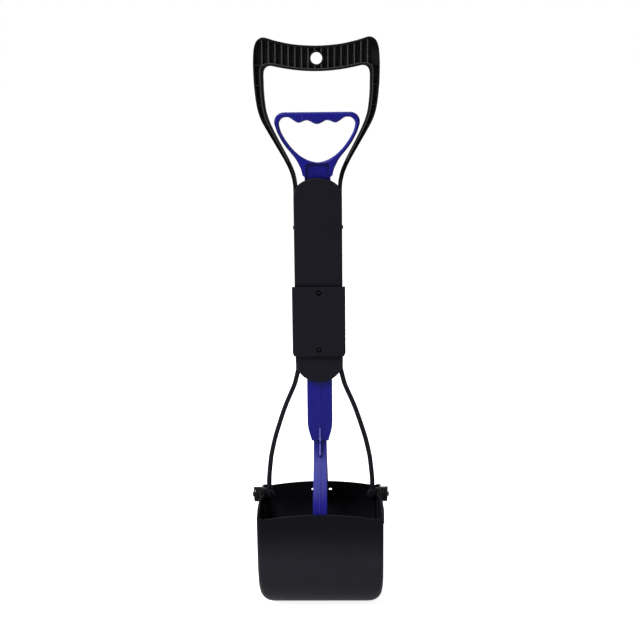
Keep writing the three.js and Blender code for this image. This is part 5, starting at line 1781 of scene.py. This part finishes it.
class SCOOP_OT_springs(Operator):
    """The torsion springs: coils on the frame, and two leg wires each"""

    bl_idname = "scoop.springs"
    bl_label = "Springs"

    def execute(self, context):
        bucket = context.scene.scoop_bucket
        front, rear = JawShape(bucket, FRONT), JawShape(bucket, REAR)
        points, first, last = self.path(bucket, front, rear)
        second = len(points) - 1 - first
        rigid_y = bucket.coil - bucket.wire
        jaw_y = points[last][1] - bucket.wire
        for side in (LEFT, RIGHT):
            path = [(side * x, y, PIVOT + z) for x, y, z in points]
            name = f"{SIDE_NAMES[side]}_spring"
            for way, run in ((FRONT, path[: first + 1]), (REAR, path[second:])):
                body = END_NAMES[way] + "_jaw"
                leg = wire(f"{name}_{END_NAMES[way]}_wire", run, bucket.wire, STEEL)
                start, end = (0, -way * rigid_y, PIVOT), (0, way * jaw_y, PIVOT)
                bend_to(leg, body, start, end, name)
            curls = wire(f"{name}_middle_wire", path[first: second + 1], bucket.wire, STEEL)
            place(curls, "frame", STEEL, name)
        return {"FINISHED"}

    @staticmethod
    def path(bucket, front, rear, curl_steps=32, leg_steps=5):
        """The right spring's wire from the pivot: front leg, coil over the top, rear leg.

        Also the places in it of the first split, at the rear of the first full curl, and of
        the coil's end. The second split mirrors the first.
        """
        drop = bucket.ledge_drop - bucket.wire - GAP
        reach = math.hypot(bucket.ledge_reach, drop)
        lean = math.atan2(drop, bucket.ledge_reach)
        tangent = math.pi - (math.acos(bucket.coil / reach) - lean)
        sweep = math.pi - 2 * (math.pi - tangent) + bucket.curls * 2 * math.pi
        near = front.ear_outer + bucket.wire + bucket.coil_clearance

        def coil(part):
            at = tangent - sweep * part
            return Vector((
                near + bucket.coil_length * part, bucket.coil * math.cos(at),
                bucket.coil * math.sin(at),
            ))

        total = round(sweep / (2 * math.pi) * curl_steps)
        middle = [coil(k / total) for k in range(total + 1)]
        bend_part = (bucket.shoulder + bucket.wire) / bucket.ledge_reach
        legs = []
        for shape, way, start in ((front, -1, middle[0]), (rear, 1, middle[-1])):
            tip = Vector((
                shape.wall_face(bucket.ledge_reach) + bucket.wire + GAP,
                way * bucket.ledge_reach, -drop,
            ))
            bend = start.lerp(tip, bend_part)
            bend.x = tip.x
            legs.append([
                *(start.lerp(bend, k / leg_steps) for k in range(1, leg_steps + 1)), tip,
            ])
        points = [tuple(point) for point in (*reversed(legs[0]), *middle, *legs[1])]
        first = len(legs[0]) + round((tangent + 2 * math.pi) / sweep * total)
        return points, first, len(legs[0]) + total


class SCOOP_OT_pins(Operator):
    """Pivot pins with caps, push-on retainers, and the pins of stem and links"""

    bl_idname = "scoop.pins"
    bl_label = "Pins"

    def execute(self, context):
        bucket = context.scene.scoop_bucket
        puller = context.scene.scoop_puller
        for side in (LEFT, RIGHT):
            name = f"{SIDE_NAMES[side]}_pivot_pin"
            outer = HIGH["right_pivot_pin"].x
            inner = LOW["right_pivot_pin"].x
            neck = outer - bucket.pin_cap_height
            end = round_end(bucket.pin, inner, bucket.pin_round)
            cap = domed(bucket.pin_cap, neck, outer, bucket.pin_round)
            profile = [*end, (bucket.pin, neck), *cap]
            piece = turned(
                f"{name}_steel", [(radius, side * along) for radius, along in profile],
                (0, 0, PIVOT),
            )
            place(polish(piece), "frame", STEEL, name)
            self.retainer(bucket, side)
        for name, body in (
            ("link_pin", "puller"), ("front_link_pin", "front_link"), ("rear_link_pin", "rear_link"),
        ):
            low, high = LOW[name], HIGH[name]
            profile = domed((high.z - low.z) / 2, low.x, high.x, FINE_EDGE)
            piece = turned(f"{name}_steel", profile, (0, MIDDLE[name].y, MIDDLE[name].z))
            place(polish(piece), body, STEEL, name)
        low, high = LOW["stem_joint_pin"], HIGH["stem_joint_pin"]
        neck = low.y + puller.rivet_height
        profile = [*domed((high.z - low.z) / 2, low.y, neck, FINE_EDGE), (puller.rivet, neck)]
        profile += [(radius, low.y + high.y - along) for radius, along in reversed(profile)]
        piece = turned("stem_joint_pin_steel", profile, (0, 0, MIDDLE["stem_joint_pin"].z), "y")
        place(polish(piece), "puller", STEEL, "stem_joint_pin")
        return {"FINISHED"}

    @staticmethod
    def retainer(bucket, side):
        """The ring that is pushed on a pivot pin's inner end."""
        name = f"{SIDE_NAMES[side]}_pin_retainer"
        low, high = LOW[name], HIGH[name]
        radius = (high.z - low.z) / 2
        ring = rounded(rectangle(bucket.pin + GAP, radius, low.x, high.x), FINE_EDGE)
        piece = turned(f"{name}_steel", ring, (0, 0, PIVOT), closed=True)
        place(polish(piece), "frame", STEEL, name)


def cross_head_screw(radius, reach):
    """A pan-head screw along +Y from its head's face at the origin, with a cross recess."""
    height, shank = radius * SCREW_HEIGHT, radius * SCREW_SHANK
    profile = [(radius * out, height * down) for out, down in SCREW_HEAD_SHARES]
    profile += [(shank, height), (shank, reach)]
    piece = turned("screw", profile, (0, 0, 0), "y", SCREW_SIDES)
    long, narrow = radius * RECESS_REACH, radius * RECESS_HALF
    recess = []
    for turn in (0, QUARTER):
        arm = block(
            "arm", (-long, -height, -narrow), (long, height * RECESS_DEPTH, narrow),
            radius * RECESS_ROUND,
        )
        arm.data.transform(Matrix.Rotation(turn + QUARTER / 4, 4, "Y"))
        recess.append(arm)
    return combine(piece, recess, "DIFFERENCE")


class SCOOP_OT_screws(Operator):
    """Cross-head screws of the sleeve and of the rear covers"""

    bl_idname = "scoop.screws"
    bl_label = "Screws"

    def execute(self, context):
        groups = {
            "sleeve_screws": (["sleeve_screw_top", "sleeve_screw_bottom"], 0),
            "upper_cover_screws": ([f"upper_cover_screw_{k}" for k in range(1, 5)], math.pi),
            "lower_cover_screws": ([f"lower_cover_screw_{k}" for k in range(1, 5)], math.pi),
        }
        for name, (nodes, turn) in groups.items():
            low, high = LOW[nodes[0]], HIGH[nodes[0]]
            source = cross_head_screw((high.x - low.x) / 2, high.y - low.y)
            places = []
            for k, part in enumerate(nodes):
                face = LOW[part].y if turn == 0 else HIGH[part].y
                centre = MIDDLE[part]
                places.append(((centre.x, face, centre.z), (0, k * SCREW_TURN, turn), (1, 1, 1)))
            piece = copies(name, source, places, STEEL)
            place(polish(piece), "frame", STEEL, *nodes)
        return {"FINISHED"}


class SCOOP_OT_finishes(Operator):
    """The procedural materials of the scoop"""

    bl_idname = "scoop.finishes"
    bl_label = "Finishes"

    def execute(self, context):
        looks = context.scene.scoop_finishes
        # Painted shade in corners and recesses, from ambient occlusion
        deep = looks.recess
        # Painted bounce light: the jaws turn paler towards the foot
        bounce_band = ("Z", looks.scuffed, 0, looks.scuff_top, looks.scuff_fade)
        # Painted highlight: the links turn paler over the height where they slope upwards
        rub = ("Z", looks.link_rub, looks.link_rub_low, looks.link_rub_high, looks.link_rub_fade)
        front = looks.rim_depth - FRAME_HALF
        channel = ("Y", looks.channel, front, FRAME_HALF, looks.rim_depth / 2)
        black = {"settings": looks, "rough": looks.black_rough}
        blue = {"settings": looks, "rough": looks.blue_rough, "gloss": looks.blue_gloss}
        smooth_grain = {"grain_depth": SMOOTH_GRAIN}
        moulded(BLACK, looks.black, looks.black_edge, painted_shade_width=deep, **black)
        moulded(
            JAW_BLACK, looks.jaw, looks.black_edge, gloss=looks.jaw_gloss, painted_shade_width=deep,
            paler=bounce_band, **black,
        )
        moulded(GRIP_BLACK, looks.grip, looks.rib_edge, paler=channel, **black)
        # Painted highlight on the grip's rib fronts and lip bead
        moulded(HIGHLIGHT_BLACK, looks.rib, looks.rib, **smooth_grain, **black)
        moulded(BLUE, looks.blue, looks.blue_edge, painted_shade_width=deep, **blue)
        # The links' lighter blue and paler band are painted highlight
        moulded(LINK_BLUE, looks.link, looks.blue_edge, painted_shade_width=deep, paler=rub, **blue)
        # Painted highlight on the front link's fin and bead
        moulded(GLEAM_BLUE, looks.rubbed, looks.blue_edge, **blue)
        # Painted highlight on the parting line
        moulded(SEAM_BLUE, looks.seam, looks.seam, looks, looks.blue_rough, **smooth_grain)
        moulded(
            STEEL, looks.steel, looks.steel_edge, looks, looks.steel_rough,
            metal=looks.steel_metal, grain_depth=STEEL_GRAIN, painted_shade_width=deep,
        )
        return {"FINISHED"}


def background_rays(tree):
    """1 for the rays that show the background: the camera's, mirrored and transmitted ones."""
    rays = node(tree, "ShaderNodeLightPath").outputs
    straight = maths(tree, "MAXIMUM", rays["Is Camera Ray"], rays["Is Glossy Ray"])
    return maths(tree, "MAXIMUM", straight, rays["Is Transmission Ray"])


class SCOOP_OT_stage(Operator):
    """Camera at the photograph's angle, soft lamps, pale floor and sky"""

    bl_idname = "scoop.stage"
    bl_label = "Stage"

    def execute(self, context):
        stage = context.scene.scoop_stage
        self.camera(context, stage)
        for name, where, size, power in (
            ("key_lamp", (-0.7, -1.2, 2.4), 0.8, stage.key),
            ("left_lamp", (-1.9, -0.25, 0.9), 0.7, stage.side),
            ("back_lamp", (-0.5, 1.7, 2.0), 1.4, stage.back),
        ):
            self.lamp(stage, name, where, size, power)
        self.floor(stage)
        self.sky(context, stage)
        context.scene.view_settings.view_transform = "Standard"
        return {"FINISHED"}

    @staticmethod
    def camera(context, stage):
        """The camera at the photograph's place."""
        data = bpy.data.cameras.new("camera")
        data.sensor_width = 36
        data.lens = data.sensor_width / 2 / math.tan(stage.field / 2)
        camera = add_object("camera", data)
        place_at = Vector((stage.camera_side, -stage.camera_distance, stage.camera_height))
        camera.matrix_world = (
            Matrix.Translation(place_at) @ Matrix.Rotation(stage.yaw, 4, "Z")
            @ Matrix.Rotation(QUARTER - stage.pitch, 4, "X") @ Matrix.Rotation(-stage.roll, 4, "Z")
        )
        context.scene.camera = camera

    @staticmethod
    def lamp(stage, name, where, size, power):
        """A soft lamp that points at the scoop."""
        data = bpy.data.lights.new(name, "AREA")
        data.size = size
        data.energy = power
        lamp = add_object(name, data)
        aim = Vector((0, 0, stage.lamp_aim)) - Vector(where)
        turn = aim.to_track_quat("-Z", "Y").to_matrix().to_4x4()
        lamp.matrix_world = Matrix.Translation(where) @ turn

    @staticmethod
    def floor(stage):
        """A pale floor that turns white towards the camera."""
        size = stage.floor_size
        mesh = bpy.data.meshes.new("floor")
        mesh.from_pydata(
            [(-size, -size, 0), (size, -size, 0), (size, size, 0), (-size, size, 0)], [],
            [(0, 1, 2, 3)],
        )
        floor = add_object("floor", mesh)
        material = bpy.data.materials.new("pale_floor")
        material.use_nodes = True
        tree = material.node_tree
        shader = tree.nodes["Principled BSDF"]
        shader.inputs["Base Color"].default_value = (*[stage.floor_tone] * 3, 1)
        shader.inputs["Roughness"].default_value = stage.floor_rough
        shader.inputs["Specular IOR Level"].default_value = 0.0
        amount = maths(tree, "MULTIPLY", background_rays(tree), stage.floor_glow)
        glow = node(tree, "ShaderNodeEmission", strength=amount)
        both = node(
            tree, "ShaderNodeAddShader", shader.outputs["BSDF"], glow.outputs["Emission"]
        )
        tree.links.new(both.outputs["Shader"], tree.nodes["Material Output"].inputs["Surface"])
        mesh.materials.append(material)

    @staticmethod
    def sky(context, stage):
        """Soft light from all round, with a white background."""
        world = bpy.data.worlds.new("soft_sky")
        world.use_nodes = True
        context.scene.world = world
        tree = world.node_tree
        light = tree.nodes["Background"]
        light.inputs["Color"].default_value = (1, 1, 1, 1)
        light.inputs["Strength"].default_value = stage.sky
        white = node(tree, "ShaderNodeBackground", color=(1, 1, 1, 1), strength=1.0)
        both = node(
            tree, "ShaderNodeMixShader", background_rays(tree), light.outputs[0],
            white.outputs[0],
        )
        tree.links.new(both.outputs[0], tree.nodes["World Output"].inputs["Surface"])


GROUPS = {
    "scoop_shaft": ScoopShaftSizes,
    "scoop_grip": ScoopGripSizes,
    "scoop_puller": ScoopPullerSizes,
    "scoop_bucket": ScoopBucketSizes,
    "scoop_finishes": ScoopFinishes,
    "scoop_stage": ScoopStage,
}
OPERATORS = (
    SCOOP_OT_finishes, SCOOP_OT_grip, SCOOP_OT_covers, SCOOP_OT_sleeve, SCOOP_OT_lower_legs,
    SCOOP_OT_pull_handle, SCOOP_OT_lower_stem, SCOOP_OT_links, SCOOP_OT_jaws, SCOOP_OT_springs,
    SCOOP_OT_pins, SCOOP_OT_screws, SCOOP_OT_stage,
)


class SCOOP_PT_panel(Panel):
    """Lists the steps and the sizes"""

    bl_idname = "SCOOP_PT_panel"
    bl_label = "Long-handled scoop"
    bl_space_type = "VIEW_3D"
    bl_region_type = "UI"
    bl_category = "Scoop"

    def draw(self, context):
        for step in OPERATORS:
            self.layout.operator(step.bl_idname)
        for name, group in GROUPS.items():
            box = self.layout.box()
            box.label(text=group.__doc__)
            for key in group.__annotations__:
                box.prop(getattr(context.scene, name), key)


def register():
    for group in GROUPS.values():
        for key, made in group.__annotations__.items():
            made.keywords["name"] = key.replace("_", " ").capitalize()
        bpy.utils.register_class(group)
    for name, group in GROUPS.items():
        setattr(bpy.types.Scene, name, PointerProperty(type=group))
    for made in (*OPERATORS, SCOOP_PT_panel):
        bpy.utils.register_class(made)


def unregister():
    for made in (SCOOP_PT_panel, *reversed(OPERATORS)):
        bpy.utils.unregister_class(made)
    for name in GROUPS:
        delattr(bpy.types.Scene, name)
    for group in GROUPS.values():
        bpy.utils.unregister_class(group)


def main():
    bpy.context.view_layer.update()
    register()
    for step in OPERATORS:
        area, name = step.bl_idname.split(".")
        getattr(getattr(bpy.ops, area), name)()


if __name__ == "__main__":
    main()
